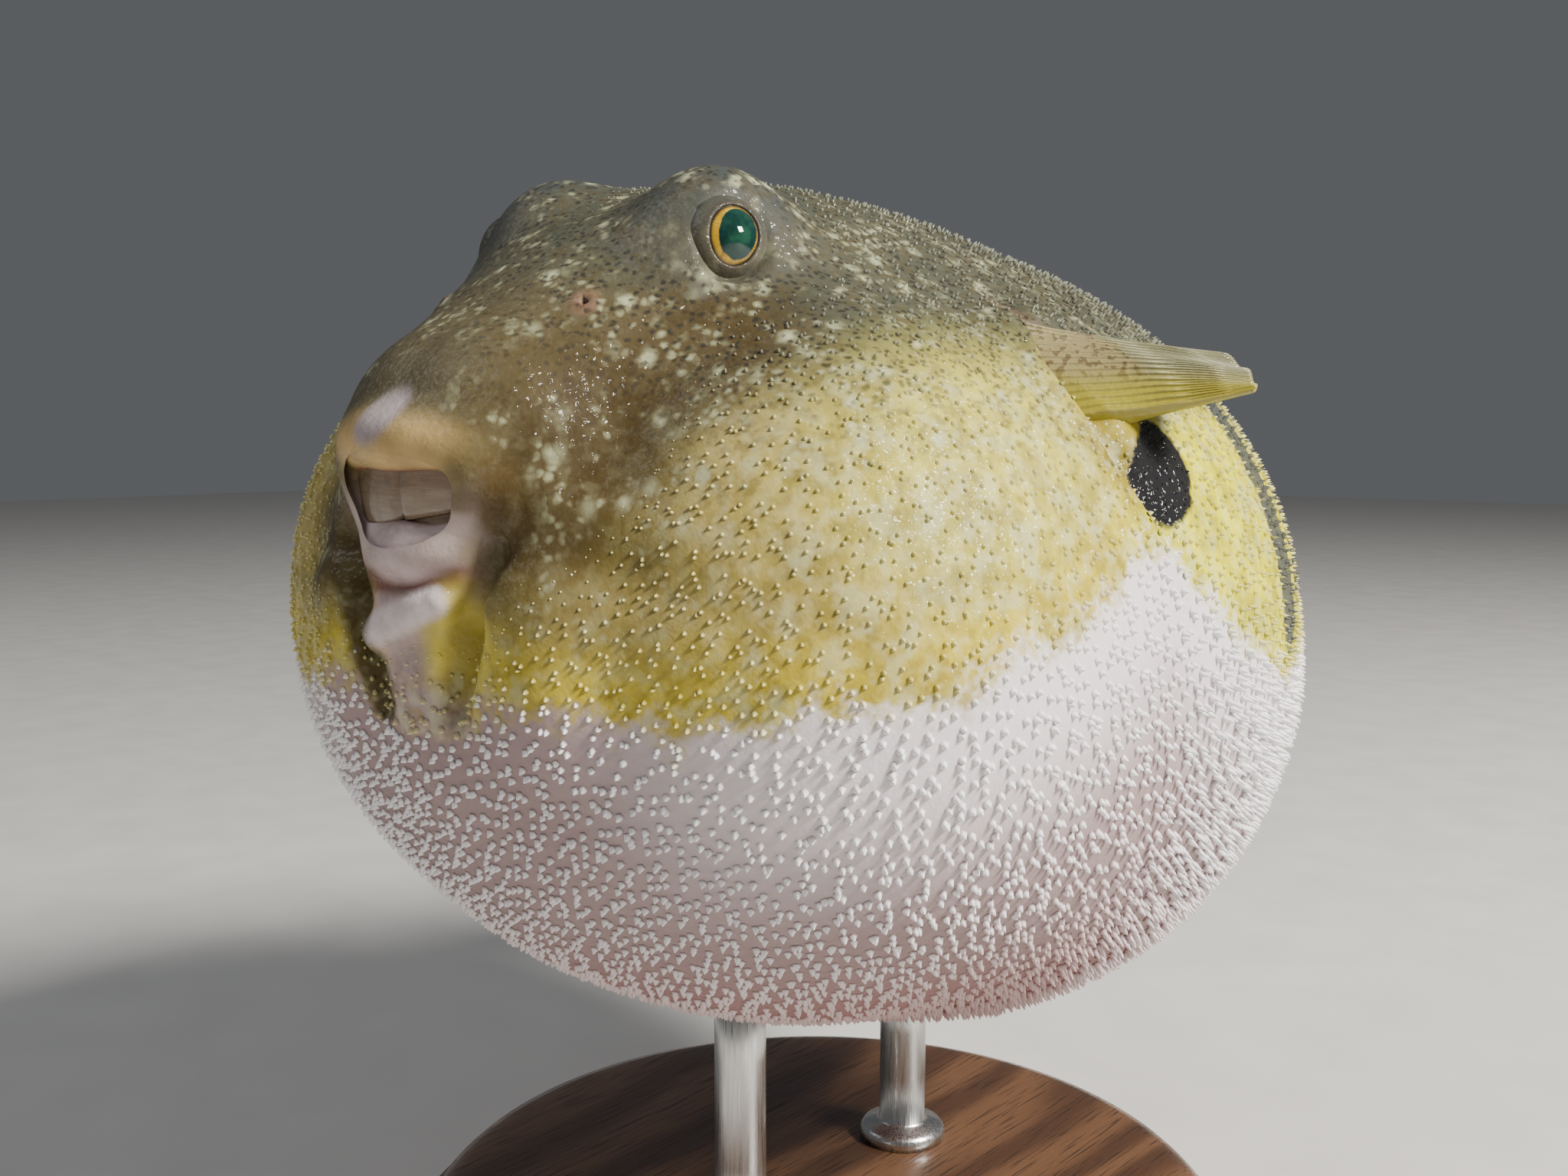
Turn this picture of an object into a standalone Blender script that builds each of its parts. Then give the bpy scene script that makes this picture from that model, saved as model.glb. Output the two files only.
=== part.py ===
"""Inflated northern puffer on a display stand.

The fish faces -Y, its left side is +X and +Z is up. The origin is the centre of the stand's underside.
Every length below is in millimetres, measured from the middle of the inflated body, and is turned into
metres when a vertex is placed. The body is one rounded shape made of blended ellipsoids and tapered
rods, cut into the head, jaws, back, belly and tail.
"""
import math

import bmesh
import bpy
import numpy as np
from mathutils import Matrix, Vector

MM = 0.001
GAP = 0.35                 # clearance left between neighbouring solids

# Stand
BODY_HEIGHT = 79.0         # the body's middle above the table
BASE_RADIUS = 52.0
BASE_THICKNESS = 9.0
BASE_EDGE = 1.6
ROD_RADIUS = 3.0
ROD_Y = (-15.0, 17.0)

# Body: (centre), (radii) of ellipsoids; (start), (end), start radius, end radius of tapered rods
BALL = (0, 1.2, 0.9), (52.5, 59.4, 45.1)
REAR = (0, 16.4, -11.4), (43.3, 33.6, 36.7)
CROWN = (0, -19.2, 30.8), (19.7, 26.9, 16.9)
CHEEK = (24.3, -29.5, 4.9), (21.7, 20.9, 27.6)
BROW = (10.9, -30.8, 39.9), (7.6, 8.2, 9.2)
SNOUT = (0, -36, 26.6), (0, -49.5, 22), 12.5, 10.8
BRIDGE = (9.4, -36.2, 29.4), (5.7, -51, 23), 7.5, 7.8
CHIN = (0, -50.8, 9), (0, -49.5, -5), 10.0, 7.5
CHEEK_GROOVE = (12.9, -58.6, 18.5), (7.4, -59.6, 0.5), 2.2, 1.1
CHIN_FOLD = (-6, -61.4, 9.4), (6, -61.4, 10.4), 1.3, 1.3
PEDUNCLE = (0, 44, 16), (0, 90, 14), 14.5, 6.5
LIP_CENTRE = (0, -59.6, 16.2)
LIP_HALF_WIDTH = 11.4
LIP_HALF_HEIGHT = 7.0
LIP_RADIUS = 3.3
LIP_SWEEP = 0.014          # how fast the lips fall back towards the mouth's corners

# Prickly coat: its depth over the skin on the belly, and on the cheeks and back
BELLY_COAT = 1.3
BACK_COAT = 0.6

# The tail bends to the fish's right and droops
BEND_START = 46.0
BEND_END = 96.0
BEND_ANGLE = math.radians(-16)
TAIL_DROOP = 3.0

# Where the body is divided
BELLY_TOP = -6.0
HEAD_BACK = -14.0
TRUNK_BACK = 59.0
JAW_BACK = -50.5
JAW_HALF_WIDTH = 14.2
JAW_TOP = 31.0
JAW_SPLIT = 15.6

# Face
EYE_CENTRE = (15.0, -34.1, 40.2)
EYE_RADIUS = 4.7
MOUTH_CENTRE = (0, -61.4, 15.6)
MOUTH_RADII = (8.6, 8.8, 4.9)
BEAK_CENTRE = (0, -58.6, 15.6)
BEAK_RADII = (7.7, 3.0, 4.1)
NOSTRIL = (10.8, -47.6, 35.2)
NOSTRIL_RADIUS = 1.7

# Fins: the root's two ends, which start inside the body, then the free edge's two ends
FIN_THICKNESS = 0.8
PECTORAL_FIN = (31, -17, 33), (43.5, -15, 22), (51, 0, 30), (56.2, -5, 26.3)
DORSAL_FIN = (0, 51, 20), (0, 62, 16), (0, 62, 41), (0, 76, 33)
ANAL_FIN = (0, 58, 10), (0, 68, 12), (0, 68, -9), (0, 80, 0)
CAUDAL_FIN = (0, 90, 19), (0, 90, 9), (0, 114, 26.5), (0, 114, 1.5)

AROUND = 46                # columns round the body
ALONG = 34                 # rings from the mouth to the tail

parts = bpy.data.collections.new("inflated_puffer_model")
cutters = bpy.data.collections.new("cutters")


# ---- shape of the body ----

def smooth_min(a, b, width):
    """Lower of two distances, rounded where they are closer than width."""
    h = np.maximum(width - np.abs(a - b), 0) / width
    return np.minimum(a, b) - h * h * width / 4


def smooth_max(a, b, width):
    return -smooth_min(-a, -b, width)


def ellipsoid(p, centre, radii):
    q = p - np.array(centre, float)
    r = np.array(radii, float)
    k = np.linalg.norm(q / r, axis=-1)
    return k * (k - 1) / np.maximum(np.linalg.norm(q / (r * r), axis=-1), 1e-9)


def tapered_rod(p, start, end, start_radius, end_radius):
    a = np.array(start, float)
    run = np.array(end, float) - a
    t = np.clip((p - a) @ run / (run @ run), 0, 1)
    radius = start_radius + (end_radius - start_radius) * t
    return np.linalg.norm(p - a - t[..., None] * run, axis=-1) - radius


def lip_ring(p):
    """A tube bent round an oval, swept back towards the corners of the mouth."""
    q = p - np.array(LIP_CENTRE, float)
    size = np.array([LIP_HALF_WIDTH, LIP_HALF_HEIGHT])
    flat = q[..., [0, 2]]
    n = np.linalg.norm(flat / size, axis=-1)
    off = n * (n - 1) / np.maximum(np.linalg.norm(flat / size ** 2, axis=-1), 1e-9)
    return np.hypot(off, q[..., 1] - LIP_SWEEP * q[..., 0] ** 2) - LIP_RADIUS


def skin(p):
    """Distance from the skin, negative inside. The fish is mirrored left to right."""
    m = np.concatenate([np.abs(p[..., :1]), p[..., 1:]], axis=-1)
    d = ellipsoid(m, *BALL)
    d = smooth_min(d, ellipsoid(m, *REAR), 10)
    d = smooth_min(d, ellipsoid(m, *CROWN), 14)
    d = smooth_min(d, ellipsoid(m, *CHEEK), 12)
    d = smooth_min(d, tapered_rod(m, *SNOUT), 8)
    d = smooth_min(d, tapered_rod(m, *BRIDGE), 8)
    d = smooth_min(d, tapered_rod(m, *CHIN), 5)
    d = smooth_max(d, -tapered_rod(m, *CHEEK_GROOVE), 3)
    d = smooth_min(d, lip_ring(m), 2.5)
    d = smooth_max(d, -tapered_rod(m, *CHIN_FOLD), 1.5)
    d = smooth_min(d, ellipsoid(m, *BROW), 5)
    return smooth_min(d, tapered_rod(m, *PEDUNCLE), 16)


def ramp(x, low, high):
    t = np.clip((x - low) / (high - low), 0, 1)
    return t * t * (3 - 2 * t)


def coat_depth(p):
    """Prickles are longest on the belly, short on the cheeks and back, and absent on the face."""
    x, y, z = np.abs(p[..., 0]), p[..., 1], p[..., 2]
    depth = BACK_COAT + (BELLY_COAT - BACK_COAT) * ramp(-z, 2, 16)
    face = ramp(-y, 36, 52) * ramp(26 - x, 0, 12) * ramp(z, -14, -2)
    tail = ramp(y, 52, 68)
    return depth * (1 - face) * (1 - tail)


# A ray for each vertex starts on a spine inside the fish and passes through a wide cage round it.
# Along t: 0 at the mouth, 1 at the tail's end.
CAGE_T = (0.00, 0.06, 0.16, 0.28, 0.46, 0.62, 0.72, 0.80, 0.88, 1.00)
SPINE_Y = (-40, -40, -37, -26, -5, 14, 30, 50, 66, 90)
SPINE_Z = (16, 16, 16, 12, 4, 8, 12, 16, 15, 14)
CAGE_Y = (-93, -93, -84, -66, -5, 60, 75, 72, 78, 98)
CAGE_RADIUS = (0, 20, 42, 64, 85, 70, 50, 30, 24, 0)
CAGE_FLATTENING = (0.62, 0.75, 0.95, 1, 1, 1, 1, 1, 1, 1)


def on_skin(t, angle, extra):
    """Points on the skin raised by coat_depth + extra: march in from the cage, then halve the last step."""
    spine_y, spine_z, cage_y, radius, flat = (
        np.interp(t, CAGE_T, row) for row in (SPINE_Y, SPINE_Z, CAGE_Y, CAGE_RADIUS, CAGE_FLATTENING)
    )
    start = np.stack([0 * t, spine_y, spine_z], axis=-1)
    cage = np.stack([radius * np.sin(angle), cage_y, spine_z + radius * flat * np.cos(angle)], axis=-1)
    ray = cage - start
    length = np.linalg.norm(ray, axis=-1)
    ray = ray / length[:, None]

    def height(s):
        p = start + ray * s[:, None]
        return skin(p) - coat_depth(p) - extra

    outer = length.copy()
    inner = length.copy()
    found = np.zeros(len(t), bool)
    for _ in range(70):
        d = height(inner)
        found |= d < 0
        outer = np.where(found, outer, inner)
        inner = np.where(found, inner, np.maximum(inner - np.maximum(d * 0.8, 0.3), 0))
    for _ in range(16):
        middle = (outer + inner) / 2
        inside = height(middle) < 0
        inner = np.where(inside, middle, inner)
        outer = np.where(inside, outer, middle)
    return start + ray * middle[:, None]


def bend(p):
    """Swing everything behind BEND_START to the fish's right, further the nearer it is to the tail's end."""
    y = p[..., 1]
    run = np.clip((y - BEND_START) / (BEND_END - BEND_START), 0, 1.35)
    turn = BEND_ANGLE * run
    reach = y - BEND_START
    bent = p.copy()
    behind = y > BEND_START
    half = turn / 2
    bent[..., 0] = np.where(behind, np.sin(half) * reach + p[..., 0] * np.cos(turn), p[..., 0])
    bent[..., 1] = np.where(behind, BEND_START + np.cos(half) * reach - p[..., 0] * np.sin(turn), y)
    bent[..., 2] = p[..., 2] - TAIL_DROOP * run ** 2
    return bent


def world(p):
    """Millimetres from the body's middle to metres from the table."""
    return (np.asarray(p, float) + (0, 0, BODY_HEIGHT)) * MM


# ---- Blender helpers ----

def material(name, colour, roughness, metallic=0.0):
    made = bpy.data.materials.new(name)
    made.use_nodes = True
    shader = made.node_tree.nodes["Principled BSDF"]
    shader.inputs["Base Color"].default_value = (*colour, 1)
    shader.inputs["Roughness"].default_value = roughness
    shader.inputs["Metallic"].default_value = metallic
    return made


def add_mesh(name, bm, collection, surface=None):
    bmesh.ops.recalc_face_normals(bm, faces=bm.faces)
    mesh = bpy.data.meshes.new(name)
    bm.to_mesh(mesh)
    bm.free()
    if surface:
        mesh.materials.append(surface)
        mesh.shade_smooth()
        mesh.set_sharp_from_angle(angle=math.radians(35))
    made = bpy.data.objects.new(name, mesh)
    collection.objects.link(made)
    if collection is cutters:
        made.hide_render = True
        made.display_type = "WIRE"
    return made


def body_mesh(extra):
    """A sphere with its poles at the mouth and the tail's end, its vertices moved onto the coat."""
    bm = bmesh.new()
    turn = Matrix.Rotation(math.radians(90), 4, "X")
    bmesh.ops.create_uvsphere(bm, u_segments=AROUND, v_segments=ALONG, radius=1, matrix=turn)
    co = np.array([v.co for v in bm.verts])
    t = np.arccos(np.clip(-co[:, 1], -1, 1)) / math.pi
    angle = np.arctan2(co[:, 0], co[:, 2])
    placed = world(bend(on_skin(t, angle, extra)))
    for vertex, point in zip(bm.verts, placed):
        vertex.co = point
    bmesh.ops.triangulate(bm, faces=bm.faces)
    return bm


def ball_mesh(centre, radii, columns=20, rings=12):
    bm = bmesh.new()
    place = Matrix.Translation(world(centre)) @ Matrix.Diagonal((*(Vector(radii) * MM), 1))
    bmesh.ops.create_uvsphere(bm, u_segments=columns, v_segments=rings, radius=1, matrix=place)
    return bm


def box_mesh(low, high):
    bm = bmesh.new()
    a, b = Vector(world(low)), Vector(world(high))
    place = Matrix.Translation((a + b) / 2) @ Matrix.Diagonal((*(b - a), 1))
    bmesh.ops.create_cube(bm, size=1, matrix=place)
    return bm


def cut(target, cutter, how="DIFFERENCE"):
    step = target.modifiers.new(f"{how.lower()} {cutter.name}", "BOOLEAN")
    step.operation = how
    step.solver = "EXACT"
    step.object = cutter


# ---- the fish ----

def body_piece(name, surface, low, high):
    """The part of the body inside one box."""
    made = add_mesh(name, body_mesh(0), parts, surface)
    box = add_mesh(f"{name}_box", box_mesh(low, high), cutters)
    cut(made, box, "INTERSECT")
    return made


def make_body(surfaces):
    far = 150
    half = GAP / 2
    above, below = BELLY_TOP + half, BELLY_TOP - half
    trunk_end = TRUNK_BACK - half
    head = body_piece("head", surfaces["head"], (-far, -far, above), (far, HEAD_BACK - half, far))
    body_piece("back", surfaces["back"], (-far, HEAD_BACK + half, above), (far, trunk_end, far))
    body_piece("belly", surfaces["belly"], (-far, -far, -far), (far, trunk_end, below))
    body_piece("tail", surfaces["back"], (-far, TRUNK_BACK + half, -far), (far, far, far))

    side, back = JAW_HALF_WIDTH, JAW_BACK
    jaw_box = box_mesh((-side, -far, above - GAP), (side, back, JAW_TOP))
    cut(head, add_mesh("jaw_box", jaw_box, cutters))
    inner, front = side - GAP, back - GAP
    upper_low, upper_high = (-inner, -far, JAW_SPLIT + half), (inner, front, JAW_TOP - GAP)
    lower_low, lower_high = (-inner, -far, above), (inner, front, JAW_SPLIT - half)
    upper = body_piece("upper_jaw", surfaces["head"], upper_low, upper_high)
    lower = body_piece("lower_jaw", surfaces["chin"], lower_low, lower_high)
    mouth = add_mesh("mouth_cavity", ball_mesh(MOUTH_CENTRE, MOUTH_RADII, 28, 16), cutters)
    for jaw in (upper, lower):
        cut(jaw, mouth)
    return head


def make_eyes(head, surface):
    for side, name in ((1, "left"), (-1, "right")):
        centre = (side * EYE_CENTRE[0], *EYE_CENTRE[1:])
        add_mesh(f"eye_{name}", ball_mesh(centre, [EYE_RADIUS] * 3), parts, surface)
        socket = add_mesh(f"eye_socket_{name}", ball_mesh(centre, [EYE_RADIUS + GAP] * 3), cutters)
        cut(head, socket)


def make_beak(surface):
    for name, low, high in (("beak_upper", GAP, 20), ("beak_lower", -20, -GAP)):
        plate = add_mesh(name, ball_mesh(BEAK_CENTRE, BEAK_RADII, 20, 14), parts, surface)
        box = box_mesh((-30, -90, JAW_SPLIT + low), (30, -30, JAW_SPLIT + high))
        cut(plate, add_mesh(f"{name}_box", box, cutters), "INTERSECT")


def fin_mesh(outline, rays=8, rings=6):
    """A sheet spread between a base line and a free edge; outline(u, v) gives a point, v running outwards."""
    bm = bmesh.new()
    bmesh.ops.create_grid(bm, x_segments=rays, y_segments=rings, size=1)
    co = np.array([v.co for v in bm.verts])
    placed = world(bend(outline((co[:, 0] + 1) / 2, (co[:, 1] + 1) / 2)))
    for vertex, point in zip(bm.verts, placed):
        vertex.co = point
    return bm


def make_fin(name, surface, outline, body_cutter):
    """The sheet is thickened, and its root is trimmed back to clear the body."""
    fin = add_mesh(name, fin_mesh(outline), parts, surface)
    thicken = fin.modifiers.new("thickness", "SOLIDIFY")
    thicken.thickness = FIN_THICKNESS * MM
    thicken.offset = 0
    cut(fin, body_cutter)


def spread(base_start, base_end, tip_start, tip_end, bulge):
    """Outline of a fan: straight base, straight outer rays, and a free edge that bulges in the middle."""
    a, b, c, d = (np.array(q, float) for q in (base_start, base_end, tip_start, tip_end))

    def outline(u, v):
        u, v = u[:, None], v[:, None]
        base = a + (b - a) * u
        tip = c + (d - c) * u
        return base + (tip - base) * v * (1 + bulge * 4 * u * (1 - u))
    return outline


def make_fins(surface, body_cutter):
    for side, name in ((1, "left"), (-1, "right")):
        corners = [np.array([side, 1, 1]) * corner for corner in PECTORAL_FIN]
        make_fin(f"pectoral_fin_{name}", surface, spread(*corners, 0.06), body_cutter)
    make_fin("dorsal_fin", surface, spread(*DORSAL_FIN, 0.15), body_cutter)
    make_fin("anal_fin", surface, spread(*ANAL_FIN, 0.15), body_cutter)
    make_fin("caudal_fin", surface, spread(*CAUDAL_FIN, 0.05), body_cutter)


def make_nostrils(surface, body_cutter):
    for side, name in ((1, "left"), (-1, "right")):
        centre = (side * NOSTRIL[0], *NOSTRIL[1:])
        bump = ball_mesh(centre, [NOSTRIL_RADIUS] * 3, 14, 10)
        cut(add_mesh(f"nostril_{name}", bump, parts, surface), body_cutter)


# ---- the stand ----

def make_stand(base_surface, rod_surface, body_cutter):
    radius, depth = BASE_RADIUS * MM, BASE_THICKNESS * MM
    bpy.ops.mesh.primitive_cylinder_add(vertices=64, radius=radius, depth=depth, location=(0, 0, depth / 2))
    base = bpy.context.object
    base.name = "stand_base"
    base.data.name = "stand_base"
    base.data.materials.append(base_surface)
    edge = base.modifiers.new("edge", "BEVEL")
    edge.width = BASE_EDGE * MM
    edge.segments = 3
    edge.limit_method = "ANGLE"
    for collection in base.users_collection:
        collection.objects.unlink(base)
    parts.objects.link(base)

    low = BASE_THICKNESS + GAP
    high = BODY_HEIGHT
    for y, name in zip(ROD_Y, ("front", "rear")):
        bm = bmesh.new()
        place = Matrix.Translation(Vector((0, y, (low + high) / 2)) * MM)
        bmesh.ops.create_cone(
            bm, cap_ends=True, segments=24, radius1=ROD_RADIUS * MM, radius2=ROD_RADIUS * MM,
            depth=(high - low) * MM, matrix=place
        )
        cut(add_mesh(f"stand_rod_{name}", bm, parts, rod_surface), body_cutter)


def main():
    for old in list(bpy.data.objects):
        bpy.data.objects.remove(old, do_unlink=True)
    for collection in (parts, cutters):
        bpy.context.scene.collection.children.link(collection)

    surfaces = {
        "head": material("head skin", (0.30, 0.26, 0.14), 0.35),
        "back": material("back skin", (0.33, 0.31, 0.18), 0.38),
        "belly": material("belly skin", (0.80, 0.74, 0.76), 0.45),
        "chin": material("chin skin", (0.66, 0.52, 0.50), 0.35),
    }
    eye = material("eye", (0.62, 0.48, 0.10), 0.08)
    beak = material("beak", (0.62, 0.52, 0.46), 0.30)
    fin = material("fin membrane", (0.66, 0.58, 0.24), 0.35)
    nostril = material("nostril skin", (0.62, 0.42, 0.36), 0.35)
    base = material("stand base", (0.16, 0.10, 0.07), 0.40)
    rod = material("stand rod", (0.72, 0.72, 0.70), 0.25, 1.0)

    body_cutter = add_mesh("body_clearance", body_mesh(GAP), cutters)
    head = make_body(surfaces)
    make_eyes(head, eye)
    make_beak(beak)
    make_nostrils(nostril, body_cutter)
    make_fins(fin, body_cutter)
    make_stand(base, rod, body_cutter)


main()
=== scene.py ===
# Inflated northern puffer, still model on a display stand.
# Lengths are millimetres from the middle of the inflated body until place() turns them into metres.
# The fish faces -Y, its left is +X.
import math

import bpy
import numpy as np
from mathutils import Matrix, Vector


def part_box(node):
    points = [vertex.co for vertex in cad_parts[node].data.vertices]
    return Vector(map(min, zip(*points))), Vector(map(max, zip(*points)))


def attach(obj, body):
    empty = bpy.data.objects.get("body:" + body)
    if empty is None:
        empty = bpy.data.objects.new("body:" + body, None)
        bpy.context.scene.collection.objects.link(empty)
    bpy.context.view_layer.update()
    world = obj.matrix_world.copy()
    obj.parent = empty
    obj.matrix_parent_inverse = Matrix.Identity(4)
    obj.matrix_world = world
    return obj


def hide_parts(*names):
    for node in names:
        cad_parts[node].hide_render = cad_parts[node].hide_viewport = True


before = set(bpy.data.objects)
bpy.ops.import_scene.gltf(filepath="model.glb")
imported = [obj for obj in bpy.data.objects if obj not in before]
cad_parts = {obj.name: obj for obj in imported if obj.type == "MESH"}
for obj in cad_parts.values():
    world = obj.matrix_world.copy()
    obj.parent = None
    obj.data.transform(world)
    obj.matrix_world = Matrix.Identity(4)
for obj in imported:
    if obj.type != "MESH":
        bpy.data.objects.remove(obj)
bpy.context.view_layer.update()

mm = 0.001
clearance = 0.35  # between the solids
bellyTop = -6.0  # where belly and back are parted
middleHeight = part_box("belly")[1].z / mm - bellyTop + clearance / 2
random = np.random.default_rng(7)

body = {
    "ball": ((0, 1.2, 0.9), (52.5, 59.4, 45.1)),
    "rear": ((0, 16.4, -11.4), (43.3, 33.6, 36.7)),  # fuller behind and below
    "crown": ((0, -19.2, 30.8), (19.7, 26.9, 16.9)),
    "cheek": ((24.3, -29.5, 4.9), (21.7, 20.9, 27.6)),
    "brow": ((10.9, -30.8, 39.9), (7.6, 8.2, 9.2)),
    "bridge": ((9.4, -36.2, 29.4), (5.7, -51.0, 23.0), 7.5, 7.8),  # flanks of the snout
    "snout": ((0, -36, 26.6), (0, -49.5, 22.0), 12.5, 10.8),
    "chin": ((0, -50.8, 9), (0, -49.5, -5), 9.6, 7.5),
    "jowl": ((13.2, -51.6, 5.5), (6.6, 7.4, 12.4)),  # the cheek's swelling beside the groove
    "mouthSide": ((9.5, -50.5, 17.5), (17.0, -46.0, 14.0), 4.5, 5.0),
    "groove": ((10.6, -58.0, 13.2), (7.6, -58.6, 6.5), (5.6, -58.8, -1.5)),
    "grooveRadius": (1.2, 2.0, 1.4),
    "peduncle": ((0, 44, 16), (0, 90, 14), 14.5, 6.5),
    # the parts melted onto the ball and how widely, before and after the groove is cut
    "firstJoins": {
        "rear": 10, "crown": 14, "cheek": 12, "snout": 8, "bridge": 8, "chin": 5, "jowl": 5, "mouthSide": 5,
    },
    "lastJoins": {"brow": 5, "peduncle": 16},
    "middleRound": 1.5,  # rounds off the join of the two halves
    "unevenness": 0.22,  # of the blown-up belly
    "wrinkle": 0.25,  # beside the groove
    "headLean": 0.032,  # rise of the head's right side for each mm to the right
    "headShift": 0.8,  # how far the top of the head sits to the left
    "bendStart": 46.0,
    "bendEnd": 96.0,
    "bendAngle": math.radians(-16),
    "droop": 3.0,
}

lips = {
    "centre": (0, -59.0, 16.9),
    "halfWidth": (8.2, 10.9),  # of the centre line below and above
    "halfHeight": (4.0, 5.6),
    "squareness": 1.4,  # how square the upper corners are
    "sweep": 0.030,
    "overhang": 1.5,  # how far the upper lip stands out past the lower one
    "radius": (2.6, 1.5, 2.1, 2.7),  # of the tube, from the lower lip round to the upper one
}

eye = {
    "centre": (13.05, -33.40, 40.5),
    "radius": 5.6,
    "axis": (0.86, -0.44, 0.26),  # which way the lids' opening faces
    "gaze": (0.868, -0.434, 0.24),
    "opening": (2.35, 2.95),  # half width and half height of the gap between the lids
    "slant": math.radians(-16),  # the gap's top leans back
    "lid": 0.32,  # thickness of the lids
    "bare": 0.3,  # how far the ball stands out of the skin under the lids
}

nostril = {"centre": (10.0, -47.0, 34.7), "radii": (0.8, 0.8, 1.0), "axis": (0.45, -0.75, 0.48), "pit": 0.4}
# the fold in front of the pectoral fin, y by z, and the fin's fleshy root behind it
gill = {"z": (6.0, 13.0, 22.0, 29.5, 35.3, 38.0), "y": (-6.0, -11.0, -15.8, -16.4, -13.6, -11.0), "step": 1.1}
finPad = {"start": (34.5, -11.0, 31.5), "end": (43.6, -11.0, 23.6), "radius": 1.9}


def lowerOf(a, b, width):
    # smooth minimum: the lower of a and b, less h*h*width/4 where h = how far they overlap within width
    h = np.maximum(width - np.abs(a - b), 0) / width
    return np.minimum(a, b) - h * h * width / 4


def higherOf(a, b, width):
    return -lowerOf(-a, -b, width)


def stacked(*parts):
    # arrays or numbers as the last axis of one array
    return np.stack(np.broadcast_arrays(*parts), axis=-1)


def lengthOf(v):
    return np.linalg.norm(v, axis=-1)


def unit(v):
    return v / lengthOf(v)[..., None]


def fullTurn(columns):
    return np.linspace(0, 2 * math.pi, columns, endpoint=False)[None, :]


def ellipsoid(p, centre, radii):
    # distance to an ellipsoid, k*(k-1)/|gradient| with k = |q/r|
    q = p - centre
    k = lengthOf(q / radii)
    return k * (k - 1) / np.maximum(lengthOf(q / np.square(radii)), 1e-9)


def taperedRod(p, start, end, startRadius, endRadius):
    # distance to the nearest point of the axis, less a radius that runs evenly from one end to the other
    run = np.subtract(end, start)
    t = np.clip((p - start) @ run / (run @ run), 0, 1)
    return lengthOf(p - start - t[..., None] * run) - startRadius - (endRadius - startRadius) * t


def ramp(x, low, high):
    # 0 below low, 1 above high, 3t^2 - 2t^3 between
    t = np.clip((x - low) / (high - low), 0, 1)
    return t * t * (3 - 2 * t)


def leanOf(p):
    # how the head's lean moves a point: headShift left, and headLean up for each mm to the right, both fading
    # in forwards and upwards
    share = ramp(-p[..., 1], 12, 28) * ramp(p[..., 2], 18, 36)
    return stacked(body["headShift"] * share, 0 * share, -body["headLean"] * p[..., 0] * share)


def lipOutline(x, z):
    # the lips' centre line is where v = ((|x|/halfWidth)^n + (|z|/halfHeight)^n)^(1/n) is 1: wider and
    # squarer at the top; gives v and its slope
    r = np.maximum(np.hypot(x, z), 1e-6)
    high = ramp(z / r, -0.1, 0.5)
    n = 2 + lips["squareness"] * ramp(z / r, -0.2, 0.6)
    halfWidth, halfHeight = (low + (top - low) * high for low, top in (lips["halfWidth"], lips["halfHeight"]))
    a, b = np.abs(x) / halfWidth, np.abs(z) / halfHeight
    v = np.maximum(a ** n + b ** n, 1e-9) ** (1 / n)
    slope = stacked(np.sign(x) * a ** (n - 1) / halfWidth, np.sign(z) * b ** (n - 1) / halfHeight)
    return v, slope * (v ** (1 - n))[..., None]


def lipRadius(angle):
    return np.interp(np.cos(angle), (-1, -0.35, 0.35, 1), lips["radius"])


def lipBack(x, angle):
    # how far back the lips' centre line lies: sweep * x^2, less the overhang over the upper lip
    return lips["sweep"] * x ** 2 - lips["overhang"] * ramp(np.cos(angle), -0.3, 0.6)


def lipLine(angle):
    # centre line of the lips in space, by the angle from straight up
    reach = 1 / lipOutline(np.sin(angle), np.cos(angle))[0]
    x = reach * np.sin(angle)
    cx, cy, cz = lips["centre"]
    return stacked(cx + x, cy + lipBack(x, angle), cz + reach * np.cos(angle))


def lipRing(p):
    # distance from the tube of the lips, and the angle round them from straight up
    x, y, z = np.moveaxis(p - lips["centre"], -1, 0)
    angle = np.arctan2(x, z)
    v, slope = lipOutline(x, z)
    off = (v - 1) / np.maximum(lengthOf(slope), 1e-6)
    return np.hypot(off, y - lipBack(x, angle)) - lipRadius(angle), angle


def frameFor(axis):
    # an axis and two directions across it: the first level, the second upwards
    axis = unit(np.array(axis, float))
    level = unit(np.cross((0, 0, 1), axis))
    return axis, level, np.cross(axis, level)


def gapAxes():
    # the way the lids' gap faces and two directions across it, leaning back by slant
    axis, level, up = frameFor(eye["axis"])
    c, s = math.cos(eye["slant"]), math.sin(eye["slant"])
    return axis, level * c + up * s, up * c - level * s


def eyeGap(m):
    # distance outside the lids' gap, a superellipse across its axis, and height along the axis
    q = m - eye["centre"]
    axis, acrossGap, alongGap = gapAxes()
    wide, high = eye["opening"]
    v = ((np.abs(q @ acrossGap) / wide) ** 2.0 + (np.abs(q @ alongGap) / high) ** 1.8) ** (1 / 1.9)
    return (v - 1) * wide, q @ axis


def upright(p):
    # the point before the head's lean, and the same point on the left half, |x| rounded off near the middle
    p = p - leanOf(p)
    return p, np.concatenate([np.hypot(p[..., :1], body["middleRound"]), p[..., 1:]], axis=-1)


def grooveRods(m):
    # distances to the upper and the lower length of the groove beside the mouth
    upper, middle, lower = body["groove"]
    wide = body["grooveRadius"]
    return taperedRod(m, upper, middle, *wide[:2]), taperedRod(m, middle, lower, *wide[1:])


def padDistance(m, taper=1.0):
    return taperedRod(m, finPad["start"], finPad["end"], finPad["radius"], finPad["radius"] * taper)


def aheadOfFold(y, z):
    return np.interp(z, gill["z"], gill["y"]) - y


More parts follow.
